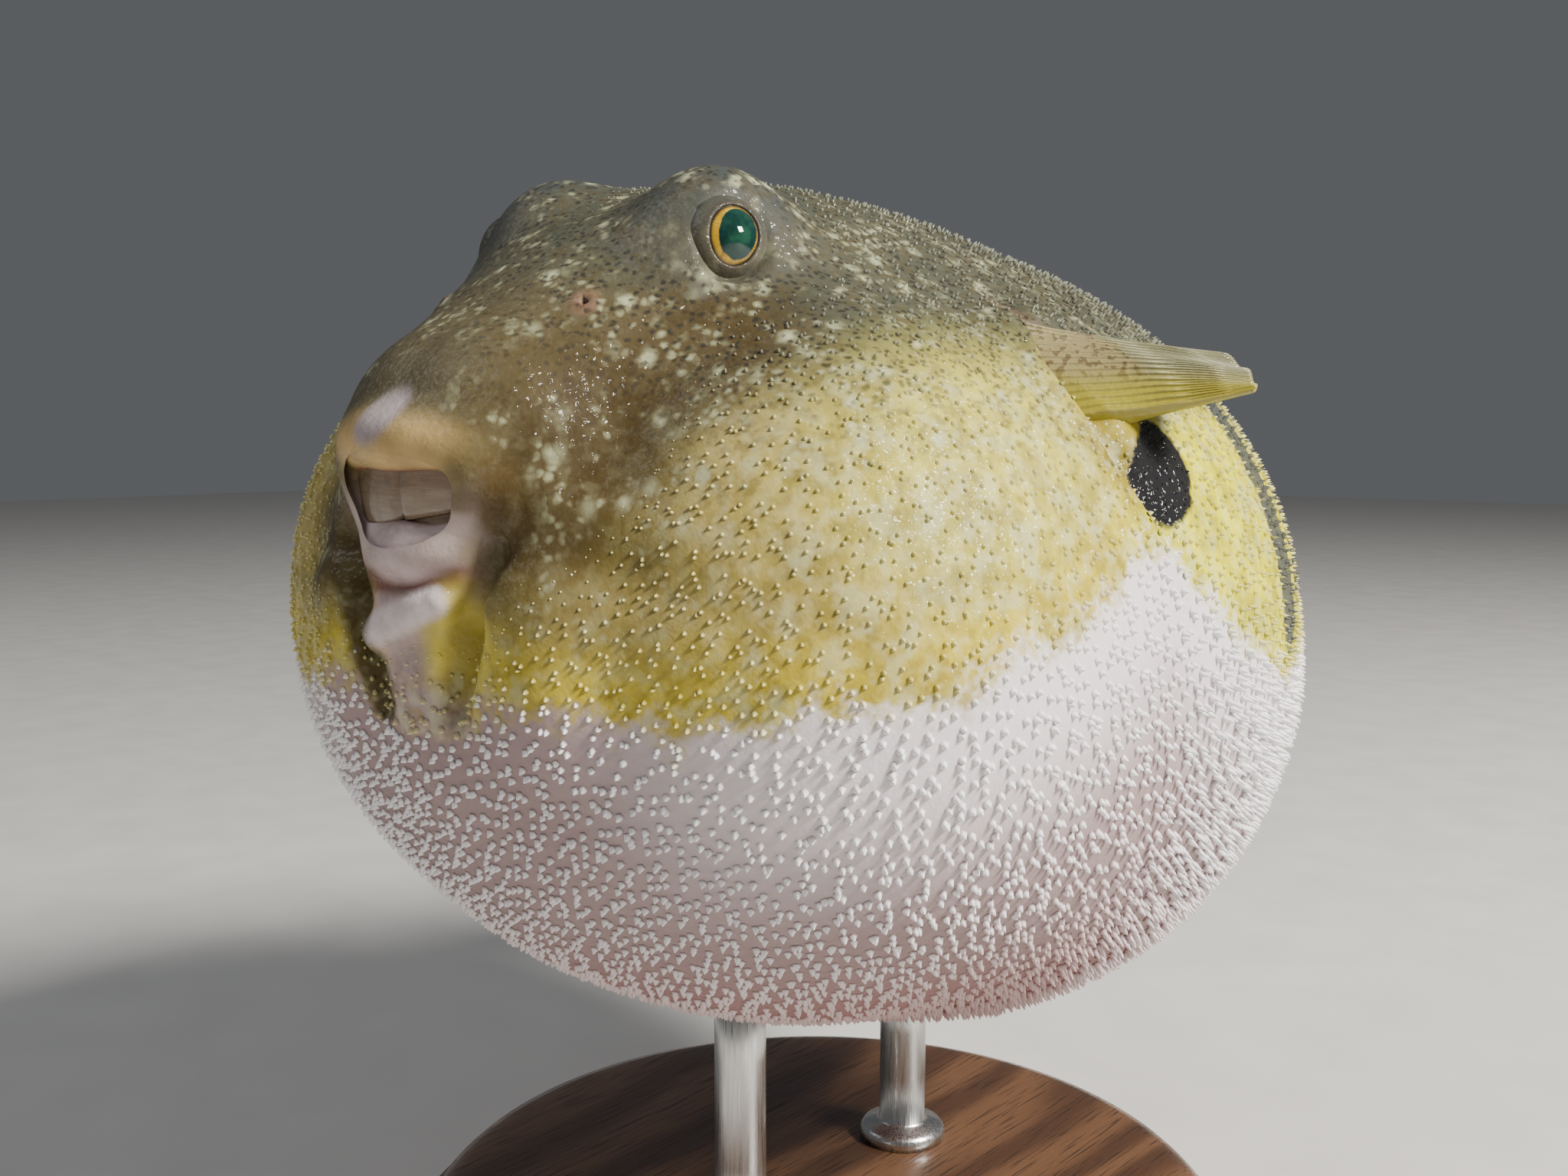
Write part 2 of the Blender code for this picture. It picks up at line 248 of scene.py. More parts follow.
def joinParts(d, m, joins):
    # parts of the body melted on in turn: two values make an ellipsoid, four a rod
    for name, width in joins.items():
        shape = body[name]
        d = lowerOf(d, (ellipsoid if len(shape) == 2 else taperedRod)(m, *shape), width)
    return d


def skinField(p):
    # distance from the skin, negative inside; mirrored but for the chin's folds and the head's lean
    p, m = upright(p)
    x, y, z = np.moveaxis(m, -1, 0)
    d = joinParts(ellipsoid(m, *body["ball"]), m, body["firstJoins"])
    d = higherOf(d, -lowerOf(*grooveRods(m), 1), 1.8)
    d = joinParts(d, m, body["lastJoins"])
    d = d + body["unevenness"] * np.sin(x / 9.0 + 1.3 * np.sin(y / 13)) * np.sin(y / 7.5 + z / 11)
    # folds of the chin under the lower lip: two creases with a slanting ridge between them
    d = higherOf(d, -taperedRod(p, (-7.0, -61.5, 9.6), (7.5, -60.5, 10.5), 1.0, 1.0), 1.8)
    d = lowerOf(d, taperedRod(p, (4.6, -59.3, 8.4), (-4.5, -59.3, 4.8), 0.9, 1.6), 1.8)
    d = higherOf(d, -taperedRod(p, (4.5, -61.2, 4.6), (-5.5, -61.4, 1.2), 1.0, 0.9), 1.6)
    d = lowerOf(d, lipRing(p)[0], 2.2)
    # cheek wrinkles beside the groove
    cheekSide = ramp(-y, 47, 53) * ramp(16 - np.abs(x - 20), 0, 8) * ramp(14 - np.abs(z - 12), 0, 10)
    d = d + body["wrinkle"] * np.sin(z / 1.6 + y / 3) * cheekSide
    # nostril flap with its pit
    tip = np.add(nostril["centre"], nostril["axis"])
    d = lowerOf(d, ellipsoid(m, nostril["centre"], nostril["radii"]), 1.4)
    d = higherOf(d, nostril["pit"] - lengthOf(m - tip), nostril["pit"])
    # eye: the skin sinks to just under the ball's face; the lids are laid over the join
    ball = lengthOf(m - eye["centre"])
    across, along = eyeGap(m)
    under = eye["radius"] - eye["bare"]
    d = d + (ball - under - d) * (1 - ramp(across, 0.2, 2.0)) * ramp(along, 1, 3)
    # fold in front of the pectoral fin's fleshy root, with a furrow behind its edge
    ahead = aheadOfFold(y, z)
    onFold = ramp(z, 4, 14) * ramp(38 - z, 0, 6) * ramp(x, 18, 30)
    fold = ramp(ahead, -0.9, 0.9) * np.exp(-np.maximum(ahead, 0) / 5)
    furrow = 0.6 * np.exp(-((ahead + 1.6) / 1.3) ** 2)
    return lowerOf(d, padDistance(m, 0.4), 6) - gill["step"] * onFold * (fold - furrow)


# rays start on a spine inside the fish and pass through a wide cage round it: t is 0 at the mouth, 1 at the
# end of the tail
cage = {
    "t": (0.00, 0.06, 0.16, 0.28, 0.46, 0.62, 0.72, 0.80, 0.88, 1.00),
    "spineY": (-40, -40, -37, -26, -5, 14, 30, 50, 66, 90),
    "spineZ": (16, 16, 16, 12, 4, 8, 12, 16, 15, 14),
    "y": (-93, -93, -84, -66, -5, 60, 75, 72, 78, 98),
    "radius": (10, 20, 42, 64, 85, 70, 50, 30, 24, 0),
    "flat": (0.62, 0.75, 0.95, 1, 1, 1, 1, 1, 1, 1),
    "mouthEnd": 0.13,  # up to here the rays turn from the lips' line to the spine
    "mouthReach": 22.0,
}
# of each ray: share of the distance that one step covers, the shortest step, how many steps and halvings
stride = {"share": 0.8, "least": 0.15, "steps": 90, "halvings": 12}


def castRays(start, through):
    # outermost crossing of the skin on each ray: step in from the far end, then halve the last step
    ray = through - start
    length = lengthOf(ray)
    ray = ray / length[..., None]
    outer = inner = length
    found = np.zeros(length.shape, bool)
    for _ in range(stride["steps"]):
        d = skinField(start + ray * inner[..., None])
        found |= d < 0
        outer = np.where(found, outer, inner)
        step = np.maximum(d * stride["share"], stride["least"])
        inner = np.where(found, inner, np.maximum(inner - step, 0))
        if found.all():
            break
    for _ in range(stride["halvings"]):
        middle = (outer + inner) / 2
        inside = skinField(start + ray * middle[..., None]) < 0
        inner = np.where(inside, middle, inner)
        outer = np.where(inside, outer, middle)
    return start + ray * ((outer + inner) / 2)[..., None]


def outerSkin(t, angle):
    # near the mouth each ray starts on the lips' centre line instead of on the spine
    names = ("spineY", "spineZ", "y", "radius", "flat")
    spineY, spineZ, cageY, radius, flat = (np.interp(t, cage["t"], cage[k]) for k in names)
    spine = stacked(0 * t, spineY, spineZ)
    far = stacked(radius * np.sin(angle), cageY, spineZ + radius * flat * np.cos(angle))
    share = ramp(t, 0.0, cage["mouthEnd"])[..., None]
    line = lipLine(angle)
    start = line * (1 - share) + spine * share
    through = (line - (0, cage["mouthReach"], 0)) * (1 - share) + far * share
    return castRays(start, through)


mouth = {"rollEnd": 0.6, "roll": math.radians(105), "depth": 7.0, "sag": 1.8}


def innerMouth(angle, rings):
    # from the lips' crest round the tube to the inside, then back and in to the floor of the mouth
    line = lipLine(angle)
    radius = lipRadius(angle)
    slope = unit(lipOutline(np.sin(angle), np.cos(angle))[1])
    inward = stacked(-slope[:, 0], 0 * angle, -slope[:, 1])
    floor = np.add(lips["centre"], (0, mouth["depth"], 0))
    made = []
    for step in np.linspace(0, 1, rings)[:-1]:
        roll = min(step / mouth["rollEnd"], 1) * mouth["roll"]
        deep = max(step - mouth["rollEnd"], 0) / (1 - mouth["rollEnd"])
        point = line + radius[:, None] * (inward * math.sin(roll) + (0, -math.cos(roll), 0))
        back = (0, mouth["sag"] * math.sin(math.pi * deep), 0)
        made.append(point * (1 - deep ** 1.5) + floor * deep ** 1.5 + back)
    return np.array(made)[::-1]


def bend(p):
    # swing what is behind bendStart to the fish's right, further the nearer it is to the tail's end
    x, y, z = np.moveaxis(p, -1, 0)
    reach = np.maximum(y - body["bendStart"], 0)
    run = np.minimum(reach / (body["bendEnd"] - body["bendStart"]), 1.35)
    turn = body["bendAngle"] * run
    bentX = np.sin(turn / 2) * reach + x * np.cos(turn)
    bentY = y - reach + np.cos(turn / 2) * reach - x * np.sin(turn)
    return stacked(bentX, bentY, z - body["droop"] * run ** 2)


def place(p):
    return (bend(p) + (0, 0, middleHeight)) * mm


# height of the line between back and belly, by degrees from straight ahead
bellyLine = {
    "bearing": (0, 9, 18, 27, 48, 65, 77, 86, 105, 130, 155, 180),
    "height": (-1, 0.9, -1.5, -2.2, 1.8, 7.6, 13.5, 6.0, -2.8, 0, 3, 6),
}


def aboveBelly(p):
    # height over the line between back and belly
    bearing = np.degrees(np.arctan2(np.abs(p[..., 0]), -p[..., 1]))
    return p[..., 2] - np.interp(bearing, bellyLine["bearing"], bellyLine["height"])


def prickleSize(p):
    # 1 on the body, less in the black spot, falling to 0 on the face, round the eyes, on the fin's root and
    # towards the tail fin
    _, m = upright(p)
    face = lengthOf(m - (0, -52, 26)) / 24
    eyes = lengthOf(m - eye["centre"])
    pad = padDistance(m)
    shares = ramp(face, 0.86, 1.2), ramp(eyes, 9, 16), ramp(pad, 0.4, 2), ramp(82 - p[..., 1], 0, 34)
    spot = 1 - 0.5 * ramp(np.where(m[..., 0] > 20, inSpot(m), -9), -0.3, 0.4)
    return np.prod(shares, axis=0) * spot


def prickleLength(p):
    # short on the back and cheeks, longer on the belly and longest on its flanks
    low = ramp(-aboveBelly(p), -6, 8)
    rear = ramp(p[..., 1], -14, 4)
    return (0.34 + 0.20 * rear + 0.28 * low + 0.50 * rear * low) * prickleSize(p)


def addObject(name, data):
    made = bpy.data.objects.new(name, data)
    bpy.context.scene.collection.objects.link(made)
    return made


def addPiece(name, verts, sizes, corners, material, attributes=None, uv=None, slot=None, replaces=()):
    # a mesh from flat arrays; an attribute has one number or three for each vertex, uv a pair
    mesh = bpy.data.meshes.new(name)
    corners = np.asarray(corners, np.int32)
    mesh.vertices.add(len(verts))
    mesh.vertices.foreach_set("co", np.asarray(verts, np.float32).ravel())
    mesh.loops.add(len(corners))
    mesh.loops.foreach_set("vertex_index", corners)
    mesh.polygons.add(len(sizes))
    mesh.polygons.foreach_set("loop_start", (np.cumsum(sizes) - sizes).astype(np.int32))
    mesh.update(calc_edges=True)
    mesh.polygons.foreach_set("use_smooth", np.ones(len(sizes), bool))
    for key, values in (attributes or {}).items():
        wide = values.ndim == 2
        layer = mesh.attributes.new(key, "FLOAT_VECTOR" if wide else "FLOAT", "POINT")
        layer.data.foreach_set("vector" if wide else "value", np.asarray(values, np.float32).ravel())
    if uv is not None:
        layer = mesh.uv_layers.new(name="OFBake")
        layer.data.foreach_set("uv", np.asarray(uv, np.float32)[corners].ravel())
    mesh.materials.append(material)
    piece = addObject(name, mesh)
    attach(piece, "root")
    if replaces:
        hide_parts(*replaces)


def volume(verts, sizes, corners):
    # volume inside faces of three or four corners, from a fan in each: negative where they point inwards
    v = verts - verts.mean(axis=0)
    total = 0
    for step in (1, 2):
        start = (np.cumsum(sizes) - sizes)[sizes > step + 1]
        a, b, c = (v[corners[start + k]] for k in (0, step, step + 1))
        total += np.einsum("ij,ij->", a, np.cross(b, c)) / 6
    return total


def ringFaces(rings, columns):
    # quads between neighbouring rings, wound outwards, and a fan to the pole at each end
    i = np.arange(rings - 1)[:, None] * columns
    j = np.arange(columns)[None, :]
    k = (j + 1) % columns
    quads = stacked(i + j, i + columns + j, i + columns + k, i + k).ravel()
    j, k = j[0], k[0]
    pole = np.full(columns, rings * columns)
    first = stacked(pole, j, k)
    last = stacked(pole + 1, i[-1] + columns + k, i[-1] + columns + j)
    sizes = np.repeat([4, 3], [len(quads) // 4, 2 * columns])
    return sizes, np.concatenate([quads, first.ravel(), last.ravel()])


def withPoles(values):
    # the grid's values in one list, with the first and last ring's mean for the two poles
    flat = values.reshape(-1, *values.shape[2:])
    return np.concatenate([flat, values[:1].mean(axis=1), values[-1:].mean(axis=1)])


def ringPiece(name, grid, material, attributes=None, **extra):
    # a closed skin over rings of points, grid[ring, column], turned so that its faces point outwards
    sizes, corners = ringFaces(*grid.shape[:2])
    order = 1 if volume(withPoles(grid), sizes, corners) > 0 else -1
    values = {k: withPoles(v[:, ::order]) for k, v in (attributes or {}).items()}
    addPiece(name, withPoles(grid[:, ::order]), sizes, corners, material, values, **extra)


def quadPiece(name, verts, quads, material, values, **extra):
    # a closed mesh of quads, turned so that they point outwards
    sizes = np.full(len(quads), 4)
    order = 1 if volume(verts, sizes, quads.ravel()) > 0 else -1
    addPiece(name, verts, sizes, quads[:, ::order].ravel(), material, values, **extra)


def bandPiece(name, grid, material, attributes, **extra):
    # a closed band: grid[ring, column] joined up both ways
    rings, columns = grid.shape[:2]
    i, j = np.arange(rings)[:, None], np.arange(columns)[None, :]
    row, below, beside = i * columns, (i + 1) % rings * columns, (j + 1) % columns
    quads = stacked(row + j, below + j, below + beside, row + beside).reshape(-1, 4)
    values = {k: v.reshape(-1, *v.shape[2:]) for k, v in attributes.items()}
    quadPiece(name, grid.reshape(-1, 3), quads, material, values, **extra)


def sheetPiece(name, top, bottom, material, attributes, **extra):
    # a thin closed sheet between two grids of points, joined by quads all round its border
    rows, columns = top.shape[:2]
    at = np.arange(rows * columns).reshape(rows, columns)
    upper = stacked(at[:-1, :-1], at[1:, :-1], at[1:, 1:], at[:-1, 1:]).reshape(-1, 4)
    lower = upper[:, ::-1] + at.size
    border = np.concatenate([at[0, :-1], at[:-1, -1], at[-1, :0:-1], at[:0:-1, 0]])
    after = np.roll(border, -1)
    sides = stacked(border, after, after + at.size, border + at.size)
    verts = np.concatenate([top.reshape(-1, 3), bottom.reshape(-1, 3)])
    values = {k: np.tile(v.ravel(), 2) for k, v in attributes.items()}
    quadPiece(name, verts, np.concatenate([upper, lower, sides]), material, values, **extra)


class Look:
    # a material in the making: each method adds a shader node and gives one of its outputs

    def __init__(self, name):
        self.material = bpy.data.materials.new(name)
        self.material.use_nodes = True
        self.tree = self.material.node_tree

    def feed(self, node, inputs):
        # joins inputs to sockets and sets the others to numbers
        for key, value in inputs.items():
            if isinstance(value, bpy.types.NodeSocket):
                self.tree.links.new(value, node.inputs[key])
            else:
                node.inputs[key].default_value = value

    def add(self, kind, inputs, output=0, **settings):
        made = self.tree.nodes.new("ShaderNode" + kind)
        for key, value in settings.items():
            setattr(made, key, value)
        self.feed(made, inputs)
        return made.outputs[output]

    def finished(self, inputs):
        self.feed(self.tree.nodes["Principled BSDF"], inputs)
        return self.material

    def calc(self, operation, a, b=0.0):
        return self.add("Math", {0: a, 1: b}, operation=operation)

    def times(self, a, b):
        return self.calc("MULTIPLY", a, b)

    def plus(self, a, b):
        return self.calc("ADD", a, b)

    def step(self, value, low, high, start=0.0, end=1.0):
        # runs smoothly from start where the value is low to end where it is high
        inputs = {"Value": value, "From Min": low, "From Max": high, "To Min": start, "To Max": end}
        return self.add("MapRange", inputs, interpolation_type="SMOOTHSTEP")

    def spread(self, noise, start, end):
        # from start to end over the range that noise mostly covers
        return self.step(noise, 0.3, 0.7, start, end)

    def mix(self, share, a, b, blend="MIX"):
        a, b = (c if isinstance(c, bpy.types.NodeSocket) else (*c, 1) for c in (a, b))
        return self.add("Mix", {0: share, 6: a, 7: b}, output=2, data_type="RGBA", blend_type=blend)

    def noise(self, vector, scale, detail=2.0, roughness=0.5, output=0):
        inputs = {"Vector": vector, "Scale": scale, "Detail": detail, "Roughness": roughness}
        return self.add("TexNoise", inputs, output)

    def stretched(self, vector, factors):
        return self.add("VectorMath", {0: vector, 1: factors}, operation="MULTIPLY")

    def vector(self, name):
        return self.add("Attribute", {}, 1, attribute_name=name)

    def number(self, name):
        return self.add("Attribute", {}, 2, attribute_name=name)

    def place(self, factor=1000.0):
        # object coordinates in millimetres
        return self.stretched(self.add("TexCoord", {}, 3), (factor, factor, factor))

    def bump(self, height, strength, distance):
        # distance in millimetres
        return self.add("Bump", {"Height": height, "Strength": strength, "Distance": distance * mm})

    def spots(self, vector, scale, edge, core, share):
        # round spots in a part of a net's cells: full within core of a cell's middle, gone by edge
        cells = self.add("TexVoronoi", {"Vector": vector, "Scale": scale, "Randomness": 0.9}).node
        disc = self.step(cells.outputs["Distance"], core, edge, 1.0, 0.0)
        chosen = self.add("SeparateColor", {0: cells.outputs["Color"]})
        return self.times(disc, self.step(chosen, 1 - share, 1 - share + 0.25))


# colours of the living skin
paints = {
    "back": (0.054, 0.057, 0.038),
    "olive": (0.10, 0.08, 0.04),
    "snout": (0.080, 0.064, 0.030),
    "face": (0.038, 0.023, 0.005),
    "cheek": (0.40, 0.32, 0.095),
    "cream": (0.50, 0.455, 0.07),
    "gold": (0.57, 0.455, 0.018),
    "yellow": (0.65, 0.61, 0.006),
    "rearFlank": (0.56, 0.51, 0.20),
    "axil": (0.30, 0.235, 0.002),
    "lid": (0.055, 0.056, 0.044),
    # painted shade: a dark ring on the skin where the lids meet the eye
    "eyeRimShade": (0.035, 0.030, 0.022),
    # painted highlight: a pale blue-grey streak in front of the eye
    "streakHighlight": (0.30, 0.33, 0.30),
    "nostril": (0.17, 0.095, 0.060),
    "upperLip": (0.54, 0.37, 0.15),
    "lilac": (0.38, 0.315, 0.325),
    "lowerLip": (0.57, 0.455, 0.46),
    "corner": (0.085, 0.055, 0.018),
    "chin": (0.47, 0.35, 0.35),
    "chinYellow": (0.66, 0.54, 0.08),
    # painted shade: dark red in the fold under the lower lip
    "creaseShade": (0.13, 0.030, 0.018),
    "ridge": (0.76, 0.66, 0.67),
    # painted shade: dark colour laid in the groove beside the mouth
    "groove": (0.070, 0.048, 0.010),
    "mouth": (0.20, 0.060, 0.045),
    "finRoot": (0.34, 0.29, 0.235),
    # painted shade in the furrow behind the fold in front of the pectoral fin
    "gillSlitShade": (0.15, 0.065, 0.035),
    # painted shade: the belly's skin between the prickles, dark lilac
    "bellyGapShade": (0.30, 0.215, 0.215),
    "bellyHigh": (0.66, 0.61, 0.63),
    # painted shade under the belly, tinted pink by painted reflected light from below
    "bellyLowShade": (0.34, 0.16, 0.15),
    "pepper": (0.016, 0.015, 0.012),
    # the brow's top: dark skin, made blue-grey by a painted sky reflection
    "browTopSkyReflection": (0.030, 0.040, 0.046),
    "ochre": (0.74, 0.71, 0.28),  # multiplied into the cheek's colour
    "palePatch": (0.55, 0.56, 0.32),
    "mottle": (0.060, 0.042, 0.012),
    "fleck": (0.42, 0.44, 0.27),
    "mark": (0.006, 0.006, 0.007),
    "bar": (0.035, 0.042, 0.055),
    "tipCream": (0.73, 0.67, 0.30),
    "tipPale": (0.22, 0.23, 0.17),
    "tipWhite": (0.82, 0.81, 0.83),
    # painted shade on the lowest prickle tips, pink like the belly's underside
    "tipLowShade": (0.58, 0.42, 0.41),
}

# marks on the flank, laid out on the (y, z) side view
flank = {
    "spot": {"y": -7.6, "z": 19.4, "radii": (5.6, 4.2), "turn": math.radians(38)},
    "none": -9.0,  # stands for well outside every mark
    "bars": (
        ((15.0, 27.5), (17.1, 3.0), 3.2),
        ((26.5, 25.0), (24.0, 6.0), 1.8),
        ((36.5, 23.0), (35.0, 8.0), 1.6),
        ((46.0, 21.0), (45.5, 9.0), 1.4),
        ((55.5, 19.5), (55.5, 10.0), 1.2),
        ((64.5, 18.5), (65.0, 10.5), 1.0),
        ((74.0, 17.5), (74.5, 11.0), 0.9),
    ),
}


def near(p, centre, radii, soft=0.5):
    # 1 inside an ellipsoid, fading out from 1 - soft to 1 + soft of its size
    k = lengthOf((p - centre) / radii)
    return 1 - ramp(k, 1 - soft, 1 + soft)


def leaningEllipse(a, b, lean, radii):
    # 1 on an ellipse whose long axis leans by (sine, cosine), less inside
    s, c = lean
    return np.hypot((a * s + b * c) / radii[0], (a * c - b * s) / radii[1])


def inSpot(m):
    # millimetres inside the dark spot behind the fin: an ellipse on the side view, its long axis turned
    spot = flank["spot"]
    lean = math.sin(spot["turn"]), math.cos(spot["turn"])
    k = leaningEllipse(m[..., 1] - spot["y"], m[..., 2] - spot["z"], lean, spot["radii"])
    return (1 - k) * spot["radii"][1]


def inBars(m):
    # how far inside the nearest flank bar, a rod on the side view
    depths = [-taperedRod(m[..., 1:], start, end, half, half) for start, end, half in flank["bars"]]
    return np.maximum.reduce([np.full(m.shape[:-1], flank["none"]), *depths])


# the pale patch on the upper lip
lipPatch = {"x": -0.1, "z": 24.6, "radii": (3.3, 2.5), "lean": (0.77, 0.64)}


def layered(like, base, layers):
    # each colour is laid over the last by its share
    tone = np.zeros(like.shape) + paints[base]
    for name, share in layers:
        tone = tone + (paints[name] - tone) * share[..., None]
    return tone


def paintSkin(p, inMouth=None):
    # the skin's colours and marks at p
    p, m = upright(p)
    x, y, z = np.moveaxis(m, -1, 0)
    left = p[..., 0]
    above = aboveBelly(p)
    gap, along = eyeGap(m)
    lip, lipAngle = lipRing(p)
    onLip = 1 - ramp(lip, 0.1, 1.3)
    upperLip = ramp(np.cos(lipAngle), -0.25, 0.35)
    patch = leaningEllipse(left - lipPatch["x"], z - lipPatch["z"], lipPatch["lean"], lipPatch["radii"])
    inPatch = 1 - ramp(patch, 0.6, 1.2)
    # distance into the groove's painted shade, made 1.6 mm wider on the far (right) side where more shade
    # falls
    grooveShadeDistance = np.minimum(*grooveRods(m)) - 1.6 * ramp(-left, 0, 3)
    onChin = (1 - ramp(x, 6.5, 9.5)) * (1 - ramp(z, 11, 13.5)) * ramp(-y, 50, 55) * ramp(z, -9, -2)
    ridge = taperedRod(p, (4.6, -60.2, 8.4), (-4.6, -60.8, 4.9), 1.0, 1.1)
    pad = padDistance(m)
    ahead = aheadOfFold(y, z)
    # where the painted shade lies: just behind the fold's edge
    foldShade = np.exp(-((ahead + 0.9) / 0.9) ** 2) * ramp(z, 12, 18) * ramp(37 - z, 0, 2) * ramp(x, 20, 30)
    front = 1 - ramp(y, -20, -8)
    tone = layered(p, "back", (
        ("rearFlank", (1 - ramp(z, 16, 30)) * ramp(y, -20, 10)),
        ("cheek", (1 - ramp(z, 20, 33)) * front),
        ("face", 0.9 * near(m, (14.5, -53, 16.5), (9.0, 12, 10), 0.6)),
        ("face", 0.95 * near(m, (20, -42, 31), (8, 9, 8), 0.6)),
        ("face", 0.25 * ramp(-y, 42, 52) * (1 - ramp(z, 22, 30)) * (1 - ramp(x, 20, 30))),
        ("snout", 0.95 * near(m, (4, -52, 28), (20, 14, 11), 0.45)),
        ("face", 0.85 * near(m, (16, -46, 24.5), (8, 10, 8), 0.6)),
        ("face", 0.8 * near(m, (15, -53, 17), (4.5, 7, 8), 0.5)),
        ("face", 0.5 * near(m, (13, -49, 23), (8, 10, 8), 0.6)),
        # painted shade: the far (right) cheek below the groove darkened with the face colour, on that side
        # only
        ("face", 0.6 * near(p, (-14, -52, 8), (8, 11, 13), 0.5)),
        ("cream", 0.85 * near(m, (45, -29, 20), (16, 18, 14), 0.55)),
        ("gold", (1 - ramp(above, 2, 10)) * front * 0.75),
        ("yellow", ramp(y, -19, -10) * (1 - ramp(z, 22, 30)) * (1 - ramp(y, 20, 48) * 0.7)),
        ("finRoot", 1 - ramp(pad, -0.2, 1.6)),
        ("axil", near(m, (45.5, -11.5, 22.0), (6.5, 7.0, 6.5), 0.5)),
        # painted shade in the furrow behind the fold, strongest at the gill slit at its top
        ("gillSlitShade", 0.8 * foldShade * (0.25 + 0.75 * ramp(z, 26, 33))),
        ("lid", 0.8 * near(m, eye["centre"], (9.5, 9.5, 8.0), 0.25)),
        # dark skin on the brow's top with a painted sky reflection
        ("browTopSkyReflection", 0.6 * near(m, (12.5, -30, 48), (7.5, 9, 4.5), 0.5)),
        # painted highlight in front of the eye
        ("streakHighlight", 0.75 * near(m, (18.2, -41.4, 39.4), (1.4, 1.8, 3.0), 0.5)),
        # painted shade round the lids' gap
        ("eyeRimShade", (1 - ramp(gap, 0.15, 0.8)) * ramp(along, 0.5, 2)),
        ("nostril", 0.85 * near(m, (10.8, -48.2, 35.6), (1.5, 1.5, 1.7), 0.4)),
        ("chin", onChin),
        # painted shade along the modelled fold under the lower lip
        ("creaseShade", 0.9 * onChin * (1 - ramp(np.abs(z - 10.1 - 0.06 * left), 0.7, 1.7))),
        ("chinYellow", near(m, (7.0, -59.0, 4.2), (4.0, 4.0, 5.8), 0.35) * (0.35 + 0.65 * ramp(left, 0, 3))),
        ("ridge", (1 - ramp(ridge, 0.0, 1.0)) * (1 - ramp(z, 9.5, 11))),
        # painted shade in the groove
        ("groove", 0.95 * (1 - ramp(grooveShadeDistance, -0.9, 0.7))),
        ("corner", near(m, (11.2, -57.5, 15.5), (2.4, 5, 5.5), 0.4) * (1 - inPatch)),
        ("upperLip", onLip * upperLip * (1 - ramp(z, 22.5, 25.5)) * (1 - 0.9 * ramp(x, 5, 9.5))),
        ("upperLip", 0.7 * near(m, (0, -61, 22.5), (8, 4, 2.6), 0.5)),
        ("lowerLip", onLip * (1 - upperLip)),
        ("corner", onLip * (1 - ramp(np.abs(upperLip - 0.5), 0.15, 0.4)) * ramp(left, 4, 8)),
        ("lilac", inPatch * ramp(-y, 55, 58)),
        ("mouth", 0 * x if inMouth is None else inMouth),
    ))
    # under the prickle tips the belly is painted shade, pale skin only high on the flanks
    under = layered(p, "bellyGapShade", (
        ("bellyHigh", ramp(above, -24, -4) * ramp(x, 12, 40)),
        # painted shade with a painted pink reflection on the belly's underside
        ("bellyLowShade", 0.8 * ramp(-z, 22, 42)),
    ))
    # the mouth, the fin's root and the lids are left plain
    mouth = near(m, (0, -58, 16), (11, 8, 14), 0.3)
    lid = 0.75 * near(m, eye["centre"], (8, 8, 6.5), 0.2)
    spotted = 1 - np.maximum.reduce([mouth, 1 - ramp(pad, 0, 1.5), lid])
    return {
        "place": p,
        "tone": tone,
        "underTone": under,
        "above": above + 12 * np.maximum(onChin * ramp(z, -7, 0), mouth),
        "spot": np.where(x > 20, inSpot(m), flank["none"]),
        "bar": np.where(x + 0.8 * y > 20, inBars(m), flank["none"]),
        "pepper": spotted * (0.12 + 0.88 * ramp(z, 19, 33)) * (1 - 0.35 * ramp(-y, 44, 54)),
        "pale": spotted * (0.55 + 0.45 * ramp(z, 10, 26)),
        "fade": ramp(z, 20, 34),
        "blotch": spotted * (1 - ramp(z, 18, 34)) * (1 - 0.85 * near(m, (12, -52, 18), (20, 20, 18), 0.45)),
    }


